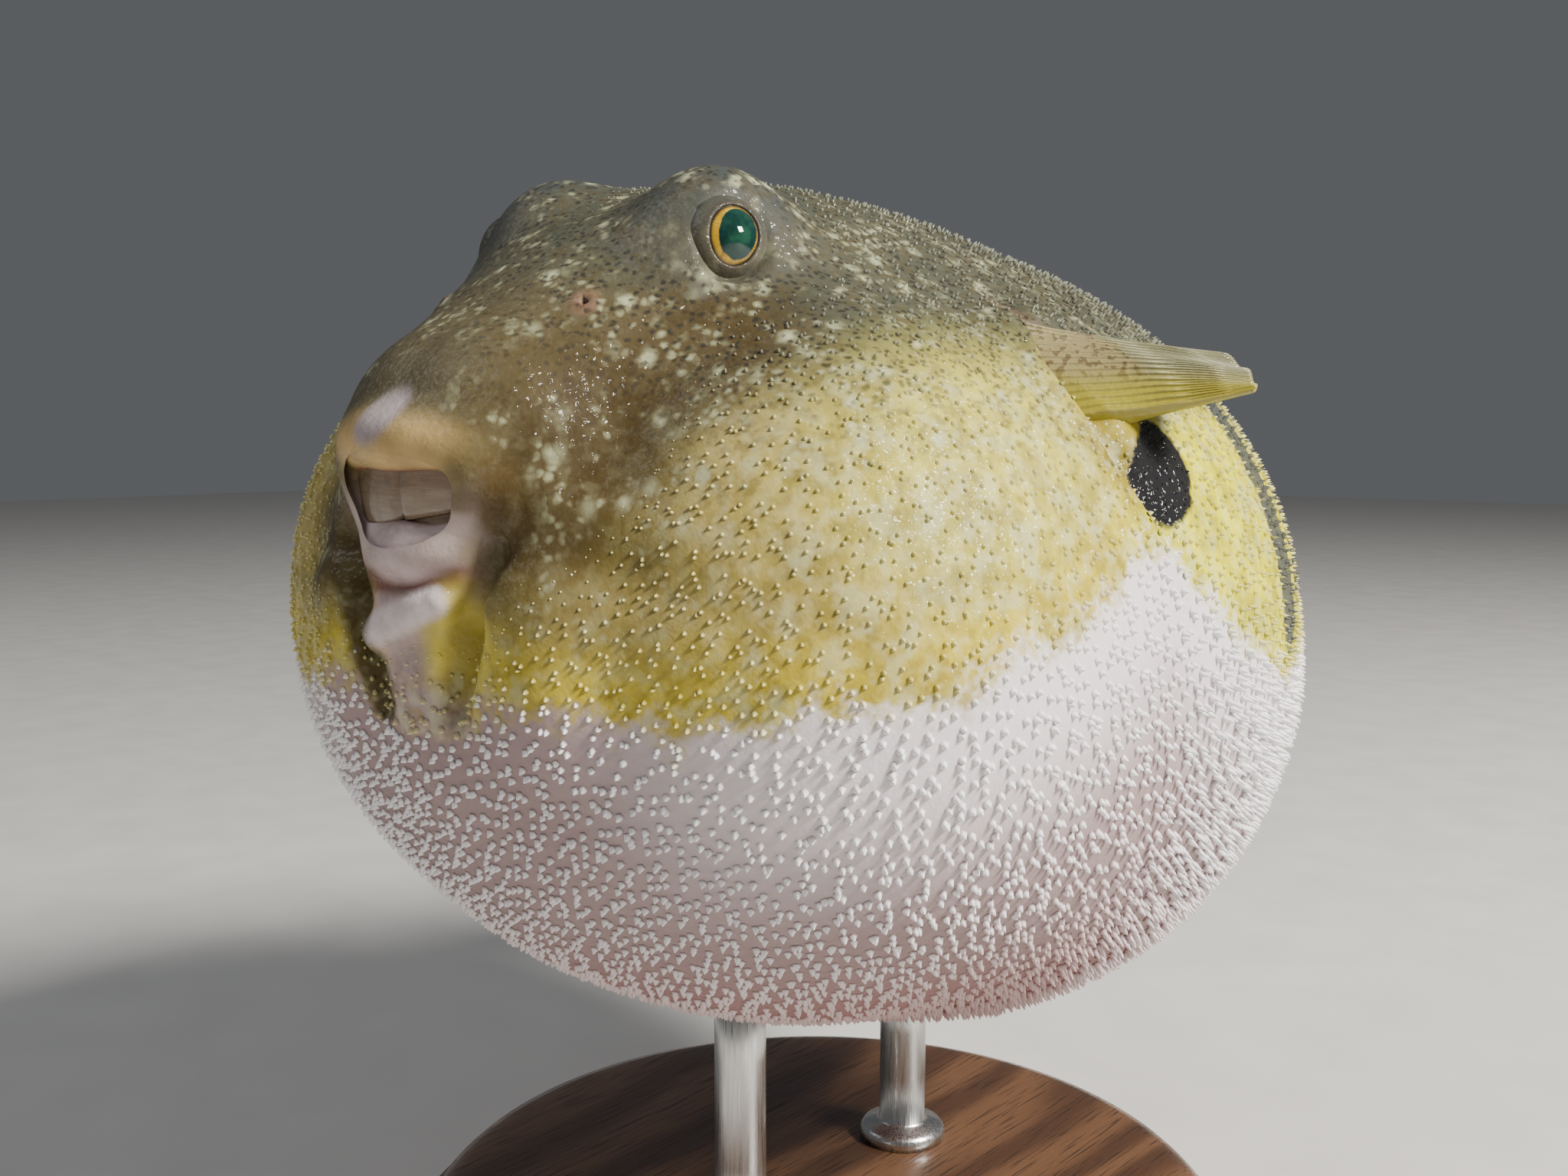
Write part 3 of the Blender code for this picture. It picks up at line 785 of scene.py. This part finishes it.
def skinMaterial():
    # markings over the zones' colours, then prickle tips by "rise"; skin and prickles share it
    look = Look("wet skin")
    place, rise, above = look.vector("place"), look.number("rise"), look.number("above")
    broad, fine = look.noise(place, 0.22, 3), look.noise(place, 1.1, 2)
    top = look.mix(look.step(broad, 0.35, 0.7, 0.0, 0.35), look.vector("tone"), paints["olive"])

    # brown mottling, and darker and paler blotches on the cheeks
    pale, onCheek = look.number("pale"), look.number("blotch")
    mottle = look.step(look.noise(place, 0.75, 3), 0.46, 0.66, 0.0, 0.42)
    top = look.mix(look.times(mottle, pale), top, paints["mottle"])
    patches = look.noise(place, 0.50, 2)
    dark = look.times(look.step(patches, 0.36, 0.52, 0.65, 0.0), onCheek)
    top = look.mix(dark, top, paints["ochre"], "MULTIPLY")
    top = look.mix(look.times(look.step(patches, 0.48, 0.66, 0.0, 0.35), onCheek), top, paints["palePatch"])

    # pale flecks, then small dark dots
    shaken = look.add("VectorMath", {0: place, 1: look.noise(place, 0.8, 2, output=1)}, operation="ADD")
    flecks = look.spots(look.stretched(shaken, (1, 1, 0.6)), 0.50, 0.60, 0.05, 0.55)
    flecks = look.calc("MAXIMUM", flecks, look.times(look.spots(shaken, 0.95, 0.60, 0.05, 0.7), 0.7))
    flecks = look.times(flecks, look.step(broad, 0.44, 0.60, 0.04, 0.85))
    top = look.mix(look.times(flecks, pale), top, paints["fleck"])
    dots = look.times(look.spots(shaken, 1.25, 0.55, 0.15, 0.85), look.number("pepper"))
    top = look.mix(look.times(dots, 0.85), top, paints["pepper"])

    # prickle tips above and below, and the ragged line between back and belly
    tip = look.mix(look.number("fade"), paints["tipCream"], paints["tipPale"])
    top = look.mix(look.step(rise, 0.05, 0.75, 0.0, 0.6), top, tip)
    # tips low on the belly take painted shade, pink like the skin below them
    tipUnder = look.mix(look.step(above, -44.0, -16.0), paints["tipLowShade"], paints["tipWhite"])
    under = look.mix(look.step(rise, 0.0, 0.40), look.vector("underTone"), tipUnder)
    ragged = look.plus(above, look.spread(fine, -1.0, 1.0))
    ragged = look.plus(ragged, look.spread(broad, -1.6, 1.6))
    colour = look.mix(look.step(ragged, -2.2, 2.2), under, top)

    # flank bars and the dark spot
    jitter = look.spread(fine, -0.5, 0.5)
    inBar = look.step(look.plus(look.number("bar"), jitter), -0.4, 0.5, 0.0, 0.92)
    colour = look.mix(inBar, colour, paints["bar"])
    inMark = look.step(look.plus(look.number("spot"), look.times(jitter, 0.35)), -0.25, 0.35)
    grain = look.noise(place, 2.6, 3, 0.6)
    dull = look.times(inMark, 0.85)
    return look.finished({
        "Base Color": look.mix(inMark, colour, paints["mark"]),
        "Roughness": look.calc("MAXIMUM", look.spread(grain, 0.45, 0.66), dull),
        "Normal": look.bump(look.plus(grain, look.times(fine, 1.5)), 0.35, 0.12),
        "Coat Normal": look.bump(look.noise(place, 1.4, 1), 1.0, 0.42),  # droplets
        "Coat Weight": 0.22,
        "Coat Roughness": 0.03,
        "Specular IOR Level": 0.16,
    })


skin = {"columns": 304, "mouthRings": 22, "rings": (0, 130, 205, 262, 300), "at": (0, 0.28, 0.46, 0.72, 1)}


def addSkin(material):
    # rings from the floor of the mouth over the lips to the tail's end, their columns closer over the head
    u = np.linspace(-1, 1, skin["columns"], endpoint=False)
    angle = math.pi * u - 0.35 * np.sin(math.pi * u)
    t = np.interp(np.arange(skin["rings"][-1]), skin["rings"], skin["at"])
    inner = innerMouth(angle, skin["mouthRings"])
    grid = np.concatenate([inner, outerSkin(*np.broadcast_arrays(t[:, None], angle[None, :]))])
    depth = np.clip(1 - np.arange(len(grid)) / (len(inner) - 1), 0, 1)
    inMouth = np.broadcast_to(ramp(depth, 0.30, 0.55)[:, None], grid.shape[:2])
    flesh = ("head", "upper_jaw", "lower_jaw", "back", "belly", "tail", "nostril_left", "nostril_right")
    ringPiece("skin", place(grid), material, paintSkin(grid, inMouth), slot="back_skin", replaces=flesh)
    print("skin:", grid.shape[0] * grid.shape[1], "points")


wetSkin = skinMaterial()
addSkin(wetSkin)

prickle = {
    "count": 20500,
    "sides": 5,
    "heights": (-0.05, 0.14, 0.48, 0.82),  # of each ring, as shares of the length
    "widths": (1.00, 0.82, 0.52, 0.25),  # as shares of the base radius
    "radius": (0.27, 0.20),  # of the base on the back, and how much more on the belly
    "girths": (0.92, 1.08),
    "lengths": (0.85, 1.15),
    "jitter": 0.008,
    "lean": 0.22,  # how far the tip trails, in lengths
    "leanTo": (0, 0.75, -0.65),
    "smallest": 0.12,
    "reach": 2.1,  # how far out the rays start, in radii of the ball
    "rodClearance": 4.6,
    "patch": 0.0015,  # radius of each one's patch on the unwrap
}
rods = {"y": (-15.0, 17.0), "radius": 3.0}


def prickleRoots():
    # an even spiral of directions (height 1 - 2i/n, turning by the golden angle), shaken, cast onto the skin
    i = np.arange(prickle["count"]) + 0.5
    height = 1 - 2 * i / prickle["count"]
    turn = i * math.pi * (3 - math.sqrt(5))
    wide = np.sqrt(1 - height ** 2)
    direction = stacked(wide * np.cos(turn), height, wide * np.sin(turn))
    direction += random.normal(0, prickle["jitter"], direction.shape)
    centre, radii = body["ball"]
    middle = np.zeros(direction.shape) + centre
    roots = castRays(middle, middle + direction * radii * prickle["reach"])
    clear = [np.hypot(roots[:, 0], roots[:, 1] - y) > prickle["rodClearance"] for y in rods["y"]]
    keep = (prickleSize(roots) > prickle["smallest"]) & ((clear[0] & clear[1]) | (roots[:, 2] > 0))
    return roots[keep], direction[keep]


def outward(p, step=0.15):
    # unit normal: the field's slope by central differences
    return unit(stacked(*(skinField(p + e * step) - skinField(p - e * step) for e in np.eye(3))))


def addPrickles(material):
    # each prickle is rings round root + n*h*L + g*lean*L*h^2 with radius R*width, closed by a tip and a flat
    # base; n is the normal and g the lie of the coat along the skin
    roots, direction = prickleRoots()
    n = outward(roots)
    lie = prickle["leanTo"]
    g = unit(lie - (n @ lie)[:, None] * n)
    side = np.cross(n, g)
    length = (prickleLength(roots) * random.uniform(*prickle["lengths"], len(roots)))[:, None, None]
    least, more = prickle["radius"]
    radius = (least + more * ramp(-aboveBelly(roots), -7, 7)) * prickleSize(roots) ** 0.5
    radius *= random.uniform(*prickle["girths"], len(roots))
    h = np.append(prickle["heights"], 1.0)[None, :, None]
    w = prickle["widths"]
    sides, levels = prickle["sides"], len(w)
    turn = np.arange(sides) * 2 * math.pi / sides
    axisLine = roots[:, None] + n[:, None] * h * length
    axisLine = axisLine + g[:, None] * prickle["lean"] * length * np.maximum(h, 0) ** 2
    ring = g[:, None] * np.cos(turn)[:, None] + side[:, None] * np.sin(turn)[:, None]
    rings = axisLine[:, :-1, None] + ring[:, None] * (radius[:, None] * w)[:, :, None, None]
    verts = np.concatenate([rings.reshape(len(roots), -1, 3), axisLine[:, -1:]], axis=1)
    rise = np.append(np.repeat(np.maximum(prickle["heights"], 0), sides), 1.0)

    # each one's patch on the unwrap: bearing round the long axis, and angle from the snout
    u = 0.5 + np.arctan2(direction[:, 0], direction[:, 2]) / (2 * math.pi)
    v = np.arccos(np.clip(-direction[:, 1] / lengthOf(direction), -1, 1)) / math.pi
    spread = np.append(np.repeat(w, sides), 0) * prickle["patch"]
    around = np.append(np.tile(turn, levels), 0)
    uv = stacked(u[:, None] + spread * np.cos(around), v[:, None] + spread * np.sin(around))

    # the faces of one: quads between rings, a fan to the tip, the base
    j = np.arange(sides)
    k = (j + 1) % sides
    i = np.arange(levels - 1)[:, None] * sides
    quads = stacked(i + j, i + k, i + sides + k, i + sides + j).ravel()
    last = (levels - 1) * sides
    tipFan = stacked(last + j, last + k, np.full(sides, levels * sides)).ravel()
    one = np.concatenate([quads, tipFan, j[::-1]])
    sizes = np.repeat([4, 3, sides], [sides * (levels - 1), sides, 1])
    perOne = verts.shape[1]
    values = paintSkin(roots)
    quarters = (("front_left", 1, -1), ("front_right", -1, -1), ("rear_left", 1, 1), ("rear_right", -1, 1))
    for name, left, rear in quarters:
        pick = (np.sign(roots[:, 0] + 1e-6) == left) & (np.sign(roots[:, 1] - 1.2 + 1e-6) == rear)
        count = int(pick.sum())
        corners = (one[None, :] + perOne * np.arange(count)[:, None]).ravel()
        marks = {key: np.repeat(value[pick], perOne, axis=0) for key, value in values.items()}
        marks["rise"] = np.tile(rise, count)
        addPiece(
            f"prickles_{name}", place(verts[pick].reshape(-1, 3)), np.tile(sizes, count), corners, material,
            marks, uv[pick].reshape(-1, 2), slot="belly_skin",
        )
        print(f"prickles {name}:", count)


addPrickles(wetSkin)

eyeball = {
    "rings": 44,
    "columns": 72,
    "cornea": 0.45,
    "corneaWidth": 3.0,
    "rim": 0.35,
    "pupil": (1.78, 2.46),
    "pupilAt": (0.20, 0.10),
    "front": 1.6,  # angle from the gaze up to which the ball is marked
}


def eyeMaterial():
    # rings by distance from the gaze axis: pupil, gold iris with fine spokes, dark surround
    look = Look("eye")
    away = look.number("away")
    cloud = look.noise(look.place(), 0.9, 3)
    around = look.add("CombineXYZ", {"X": look.times(look.number("turn"), 7.0), "Y": away})
    spokes = look.step(look.noise(around, 1.6, 3), 0.35, 0.65)
    rough = look.plus(away, look.spread(cloud, -0.03, 0.03))
    pupil = look.mix(look.step(cloud, 0.35, 0.65), (0.004, 0.022, 0.017), (0.011, 0.050, 0.030))
    pupil = look.mix(look.step(rough, 0.5, 1.0, 0.0, 0.5), pupil, (0.004, 0.018, 0.022))
    iris = look.mix(spokes, (0.22, 0.12, 0.008), (0.46, 0.29, 0.020))
    colour = look.mix(look.step(rough, 1.0, 1.07), pupil, iris)
    outside = look.step(look.number("edge"), -eyeball["rim"], 0.0)
    return look.finished({
        "Base Color": look.mix(outside, colour, (0.018, 0.015, 0.012)),
        "Roughness": 0.05,
        "Coat Weight": 0.45,
        "Coat Roughness": 0.02,
        "Specular IOR Level": 0.2,
    })


def addEyes(material):
    # each ball: rings round the gaze axis at radius R with a rise cornea*(1 - (w/width)^2)^2 at its middle
    axis, level, up = frameFor(eye["gaze"])
    polar = np.linspace(0, math.pi, eyeball["rings"] + 2)[1:-1, None]
    turn = fullTurn(eyeball["columns"])
    away = eye["radius"] * np.sin(polar)
    dome = eyeball["cornea"] * np.clip(1 - (away / eyeball["corneaWidth"]) ** 2, 0, 1) ** 2 * (polar < 1.2)
    along = eye["radius"] * np.cos(polar) + dome
    a, b = away * np.cos(turn), away * np.sin(turn)
    ball = along[..., None] * axis + a[..., None] * level + b[..., None] * up
    c, s = math.cos(eye["slant"]), math.sin(eye["slant"])
    leaning = a * c + b * s, b * c - a * s
    pupil = [(q - at) / radius for q, at, radius in zip(leaning, eyeball["pupilAt"], eyeball["pupil"])]
    for side, name in ((1, "eye_left"), (-1, "eye_right")):
        mirror = (side, 1, 1)
        centre = np.multiply(eye["centre"], mirror)
        grid = centre + leanOf(centre) + ball * mirror
        gap, _ = eyeGap((grid - leanOf(grid)) * mirror)
        marks = {
            "away": np.where(polar < eyeball["front"], np.hypot(*pupil), 9.0),
            "edge": np.where(polar < eyeball["front"], gap, 9.0),
            "turn": np.broadcast_to(np.cos(turn * 3) + np.sin(turn * 5), a.shape),
        }
        ringPiece(name, place(grid), material, marks, slot="eye", replaces=(name,))
    print("eyes: 2")


addEyes(eyeMaterial())

lids = {
    "out": (0.0, 0.06, 0.22, 0.45, 0.8, 1.1, 1.4, 1.6, 1.6, 1.0, 0.2),  # from the gap's edge
    "rise": (0.0, 0.55, 0.95, 1.0, 0.9, 0.7, 0.35, -0.2, -1.8, -1.8, -0.8),  # over the ball, in thicknesses
    "columns": 120,
}


def addLids(material):
    # each pair of lids is one band round the gap: stations outwards along the gap's normal, at the ball's
    # height sqrt(R^2 - r^2) plus rise; its outer edge runs down under the skin
    axis, acrossGap, alongGap = gapAxes()
    turn = fullTurn(lids["columns"])
    out, rise = (np.array(lids[k])[:, None] for k in ("out", "rise"))
    wide, high = eye["opening"]
    normal = np.stack([np.cos(turn) / wide, np.sin(turn) / high])
    normal = normal / np.linalg.norm(normal, axis=0)
    a = wide * np.cos(turn) + normal[0] * out
    b = high * np.sin(turn) + normal[1] * out
    along = np.sqrt(np.maximum((eye["radius"] + 0.02) ** 2 - a ** 2 - b ** 2, 0)) + rise * eye["lid"]
    grid = along[..., None] * axis + a[..., None] * acrossGap + b[..., None] * alongGap
    for side, name in ((1, "lids_left"), (-1, "lids_right")):
        one = (grid + eye["centre"]) * (side, 1, 1)
        one = one + leanOf(one)
        bandPiece(name, place(one), material, {**paintSkin(one), "rise": 0 * a}, slot="back_skin")
    print("lids: 2 bands")


addLids(wetSkin)

beak = {
    "upper": {"low": (15.3, 0.17), "high": (21.5, 0.0), "front": -60.4, "half": 9.0, "side": 1},
    "lower": {"low": (11.6, 0.0), "high": (15.5, 0.17), "front": -59.7, "half": 7.9, "side": -1},
    "thickness": 2.6,
    "across": 31,
    "up": 13,
    "curve": 0.026,
    "nick": 0.35,  # depth of the notch in the cutting edge
    "seam": 0.45,  # depth of the line down the middle
    "setBack": 0.5,  # of the cutting edge
}


def beakMaterial():
    # worn brown tooth plates: growth lines level with the cutting edge, darker in cloudy patches
    look = Look("beak")
    place = look.place()
    lines = look.noise(look.stretched(place, (0.25, 0.25, 2.2)), 1.2, 3)
    cloud = look.noise(place, 0.7, 3)
    colour = look.mix(look.step(lines, 0.35, 0.65), (0.20, 0.140, 0.090), (0.25, 0.185, 0.125))
    return look.finished({
        "Base Color": look.mix(look.step(cloud, 0.5, 0.75, 0.0, 0.5), colour, (0.12, 0.085, 0.055)),
        "Roughness": look.spread(cloud, 0.22, 0.42),
        "Normal": look.bump(look.plus(lines, cloud), 0.3, 0.10),
        "Coat Weight": 0.7,
        "Coat Roughness": 0.08,
    })


def addBeak(material):
    # each plate: a curved slab y = front + curve*x^2, thinner at the cutting edge, nicked at the middle line
    for name in ("upper", "lower"):
        plate = beak[name]
        side = plate["side"]
        x = np.linspace(-plate["half"], plate["half"], beak["across"])[:, None]
        v = np.linspace(0, 1, beak["up"])[None, :]
        low, high = (plate[k][0] + plate[k][1] * x for k in ("low", "high"))
        edge = v if side > 0 else 1 - v  # 0 at the cutting edge
        nick = beak["nick"] * np.exp(-(x / 0.45) ** 2) * np.exp(-(edge / 0.16) ** 2)
        z = low + (high - low) * v + side * nick
        seam = beak["seam"] * np.exp(-(x / 0.35) ** 2)
        setBack = beak["setBack"] * (1 - np.sqrt(np.clip(edge * 2.2, 0, 1)))
        front = plate["front"] + beak["curve"] * x ** 2 + setBack + seam
        thick = beak["thickness"] * (0.25 + 0.75 * np.clip(edge * 1.6, 0, 1) ** 0.6)
        top, back = (stacked(x, y, z) for y in (front, front + thick))
        piece = "beak_" + name
        sheetPiece(piece, place(top), place(back), material, {}, slot="beak", replaces=(piece,))
    print("beak: 2 plates")


addBeak(beakMaterial())

# root and tip lines of each fin, front end first, and what differs from the common values: swell is how far
# a paired fin's face bulges, inside how far it starts under the skin, gold the yellow's share above and below
finCommon = {
    "perRay": 9, "round": 0.15, "inside": 0.0, "swell": 0.0, "fleshy": 0.2, "gold": (0.25, 0.25),
    "rootHalf": 1.15, "edgeHalf": 0.26, "middleHalf": 0.3105, "rayHalf": 0.253, "outwards": (1, 0, 0),
}
fins = {
    "pectoral_fin_left": {
        "root": ((32.6, -14.0, 33.4), (44.2, -12.4, 23.8)), "tip": ((50.9, 0.0, 30.3), (56.2, -5.0, 27.0)),
        "rays": 15, "rows": 64, "round": 0.05, "inside": 0.24, "swell": 1.3, "fleshy": 0.42,
        "gold": (0.0, 0.92), "rootHalf": 1.725, "outwards": (0.45, -0.6, 0.6),
    },
    "dorsal_fin": {
        "root": ((0, 51, 21), (0, 62, 17.5)), "tip": ((0, 62, 41), (0, 76, 33)), "rays": 8, "rows": 60,
    },
    "anal_fin": {
        "root": ((0, 58, 8.5), (0, 68, 10.5)), "tip": ((0, 68, -9), (0, 80, 0)), "rays": 7, "rows": 56,
    },
    "caudal_fin": {
        "root": ((0, 88, 19), (0, 88, 9)), "tip": ((0, 114, 26.5), (0, 114, 1.5)), "rays": 10, "rows": 70,
        "round": 0.07, "fleshy": 0.15,
    },
}
fins["pectoral_fin_right"] = fins["pectoral_fin_left"]


def finMaterial():
    # pale rays over a greyer membrane; fleshy spotted root, yellow lower edge
    look = Look("fin membrane")
    place = look.place()
    ray = look.number("ray")
    cloud, fine = look.noise(place, 0.45, 3), look.noise(place, 1.3, 2)
    colour = look.mix(cloud, (0.11, 0.105, 0.050), (0.22, 0.205, 0.10))
    colour = look.mix(look.step(ray, 0.25, 0.8, 0.0, 0.75), colour, (0.30, 0.295, 0.16))
    flesh = look.mix(look.step(fine, 0.52, 0.60, 0.0, 0.8), (0.23, 0.190, 0.080), (0.075, 0.048, 0.012))
    fleshy = look.calc("SUBTRACT", look.plus(look.number("flesh"), cloud), 0.5)
    colour = look.mix(look.step(fleshy, 0.35, 0.75), colour, flesh)
    return look.finished({
        "Base Color": look.mix(look.number("gold"), colour, (0.25, 0.215, 0.010)),
        "Roughness": look.spread(fine, 0.35, 0.55),
        "Normal": look.bump(look.plus(fine, look.times(ray, 2.0)), 0.5, 0.2),
        "Coat Weight": 0.45,
        "Coat Roughness": 0.12,
    })


def addFins(material):
    # a fin's face: root line to tip line by out (0-1) and across (0-1), its tips rounded; each ray is a ridge
    # that splits in two and again on its way out, and the edge dips between rays
    for name, own in fins.items():
        fin = {**finCommon, **own}
        mirror = (-1, 1, 1) if name.endswith("right") else (1, 1, 1)
        columns = fin["rays"] * fin["perRay"] + 1
        out = np.linspace(-fin["inside"], 1, fin["rows"])[:, None]
        across = np.linspace(0, 1, columns)[None, :]
        (rootA, rootB), (tipA, tipB) = (np.array(fin[k], float) for k in ("root", "tip"))
        root = rootA + (rootB - rootA) * across[..., None]
        tip = tipA + (tipB - tipA) * across[..., None]
        waves = (np.cos(2 * math.pi * (n * across * fin["rays"] - 0.5)) for n in (1, 2, 4))
        first, second, third = (0.5 + 0.5 * wave for wave in waves)
        split, again = ramp(out, 0.42, 0.66), ramp(out, 0.74, 0.92)
        ray = first * (1 - split) + second * split * (1 - again) + third * again
        reach = 1 - fin["round"] * (2 * np.abs(across - 0.48)) ** 3 - 0.035 * (1 - second) * ramp(out, 0.7, 1)
        normal = unit(np.cross(tipA - rootA, rootB - rootA))
        normal = normal * np.sign(normal @ fin["outwards"])
        outside = np.clip(out, 0, 1)
        bow = fin["swell"] * np.sin(math.pi * outside) * np.sin(math.pi * across)
        wave = 0.35 * np.sin(2 * math.pi * across * 2.2 + 1.0) * out ** 2
        middle = root + (tip - root) * (out * reach)[..., None] + (bow + wave)[..., None] * normal
        half = fin["middleHalf"] + fin["rayHalf"] * ray ** 1.5 * (1 - 0.65 * out) * ramp(out, 0.2, 0.5)
        half = half + fin["rootHalf"] * (1 - outside) ** 3
        rim = np.minimum(np.minimum(across, 1 - across) * columns / 5, 1) ** 0.5
        half = fin["edgeHalf"] + (half - fin["edgeHalf"]) * rim
        flesh = 1 - ramp(out, fin["fleshy"] - 0.1, fin["fleshy"] + 0.12)
        least, most = fin["gold"]
        marks = {"ray": ray, "flesh": flesh, "gold": least + (most - least) * ramp(across, 0.5, 0.85)}
        marks = {key: np.broadcast_to(value, ray.shape) for key, value in marks.items()}
        front, back = (place((middle + way * half[..., None] * normal) * mirror) for way in (1, -1))
        sheetPiece(name, front, back, material, marks, slot="fin_membrane", replaces=(name,))
    print("fins:", len(fins))


addFins(finMaterial())

stand = {
    "height": 9.0,
    # radius and height of the turned profile, from the middle of the underside round to the middle of the top
    "profile": (
        (0.0, 0.0), (50.2, 0.0), (51.6, 0.5), (52.0, 1.5), (52.0, 3.2), (51.5, 4.0), (50.0, 4.4),
        (49.2, 5.0), (49.0, 6.0), (48.5, 7.4), (47.4, 8.4), (45.8, 8.9), (44.2, 9.0), (0.0, 9.0),
    ),
    "pole": 0.02,  # radius of the smallest ring
    "columns": 128,
    "rodColumns": 32,
    "collar": 5.6,
}


def woodMaterial():
    # dark walnut: long grain along y, warped rings, fine pores
    look = Look("dark wood")
    place = look.place()
    warp = look.noise(look.stretched(place, (0.03, 0.006, 0.03)), 1.0, 3)
    across = look.add("SeparateXYZ", {0: place})
    phase = look.plus(look.times(across, 0.55), look.times(warp, 26.0))
    grain = look.step(look.calc("SINE", phase), -1.0, 1.0)
    pores = look.noise(look.stretched(place, (3.2, 0.12, 3.2)), 1.0, 3)
    colour = look.mix(grain, (0.060, 0.028, 0.014), (0.125, 0.062, 0.030))
    return look.finished({
        "Base Color": look.mix(look.step(pores, 0.52, 0.68, 0.0, 0.8), colour, (0.022, 0.011, 0.006)),
        "Roughness": look.spread(pores, 0.30, 0.5),
        "Normal": look.bump(pores, 0.35, 0.12),
        "Coat Weight": 0.35,
        "Coat Roughness": 0.15,
    })


def steelMaterial():
    # brushed steel: fine streaks along the rod
    look = Look("brushed steel")
    place = look.place()
    streaks = look.noise(look.stretched(place, (6.0, 6.0, 0.15)), 1.0, 3)
    return look.finished({
        "Base Color": look.mix(look.noise(place, 0.12, 3), (0.50, 0.50, 0.49), (0.66, 0.66, 0.65)),
        "Roughness": look.spread(streaks, 0.22, 0.40),
        "Normal": look.bump(streaks, 0.3, 0.03),
        "Metallic": 1.0,
    })


def revolved(profile, step, columns, centre=(0, 0)):
    # rings of the profile's (radius, height) points, its runs cut into pieces of about step
    points = np.array(profile, float)
    made = [points[:1]]
    for a, b in zip(points[:-1], points[1:]):
        pieces = max(int(np.linalg.norm(b - a) / step), 1)
        made.append(a + (b - a) * (np.arange(1, pieces + 1) / pieces)[:, None])
    radius, height = np.concatenate(made).T[..., None]
    radius = np.maximum(radius, stand["pole"])
    turn = fullTurn(columns)
    rings = [radius * np.cos(turn) + centre[0], radius * np.sin(turn) + centre[1], height + 0 * turn]
    return stacked(*rings) * mm


def addStand(wood, steel):
    base = revolved(stand["profile"], 4.0, stand["columns"])
    ringPiece("stand_base", base, wood, slot="stand_base", replaces=("stand_base",))
    r, low, collar, pole = rods["radius"], stand["height"], stand["collar"], stand["pole"]
    for name, y in zip(("stand_rod_front", "stand_rod_rear"), rods["y"]):
        # up to just inside the fish's underside
        top = castRays(np.array([0, y, 0.0]), np.array([0, y, -70.0]))[2] + middleHeight
        shape = (
            (pole, low + 0.05), (collar, low + 0.05), (collar, low + 1.2), (collar - 0.5, low + 1.9),
            (r + 0.5, low + 2.2), (r, low + 2.6), (r, top - 0.1), (r * 0.6, top + 1.2), (pole, top + 1.3),
        )
        rod = revolved(shape, 6.0, stand["rodColumns"], (0, y))
        ringPiece(name, rod, steel, slot="stand_rod", replaces=(name,))
    print("stand: base and 2 rods")


addStand(woodMaterial(), steelMaterial())

view = {"azimuth": 39.0, "distance": 183.0, "above": 24.0, "pitch": 6.1, "yaw": 1.46, "lens": 35.33}


def addCamera():
    a, pitch = math.radians(view["azimuth"]), math.radians(view["pitch"])
    ahead = a + math.radians(view["yaw"])
    camera = addObject("camera", bpy.data.cameras.new("camera"))
    camera.data.sensor_width = 36
    camera.data.lens = view["lens"]
    camera.data.clip_start = 0.01
    place = Vector((math.sin(a), -math.cos(a), 0)) * view["distance"] * mm
    camera.location = place + Vector((0, 0, (middleHeight + view["above"]) * mm))
    level = math.cos(pitch)
    forward = Vector((-math.sin(ahead) * level, math.cos(ahead) * level, -math.sin(pitch)))
    camera.rotation_euler = forward.to_track_quat("-Z", "Y").to_euler()
    bpy.context.scene.camera = camera


addCamera()

studio = {
    "world": ((0.90, 0.94, 1.0), 0.12),
    "lamps": (
        # name, place in metres, size, watts, colour
        ("key", (0.70, 0.10, 0.62), 0.22, 25.0, (1.0, 0.96, 0.90)),
        ("fill", (-0.45, -0.45, 0.85), 0.60, 3.0, (0.93, 0.96, 1.0)),
    ),
}


def addStudio():
    bpy.ops.mesh.primitive_plane_add(size=4)
    floor = bpy.context.object
    floor.name = "floor"
    look = Look("pale floor")
    grain = look.noise(look.place(1.0), 60.0, 4)
    floor.data.materials.append(look.finished({
        "Base Color": look.mix(grain, (0.56, 0.545, 0.52), (0.62, 0.605, 0.58)),
        "Roughness": look.spread(grain, 0.55, 0.7),
    }))
    world = bpy.data.worlds.new("studio")
    world.use_nodes = True
    colour, strength = studio["world"]
    background = world.node_tree.nodes["Background"]
    background.inputs["Color"].default_value = (*colour, 1)
    background.inputs["Strength"].default_value = strength
    bpy.context.scene.world = world
    target = Vector((0, 0, middleHeight * mm))
    for name, spot, size, power, tint in studio["lamps"]:
        light = bpy.data.lights.new(name, "AREA")
        light.size = size
        light.energy = power
        light.color = tint
        lamp = addObject(name, light)
        lamp.location = spot
        lamp.rotation_euler = (target - lamp.location).to_track_quat("-Z", "Y").to_euler()


addStudio()
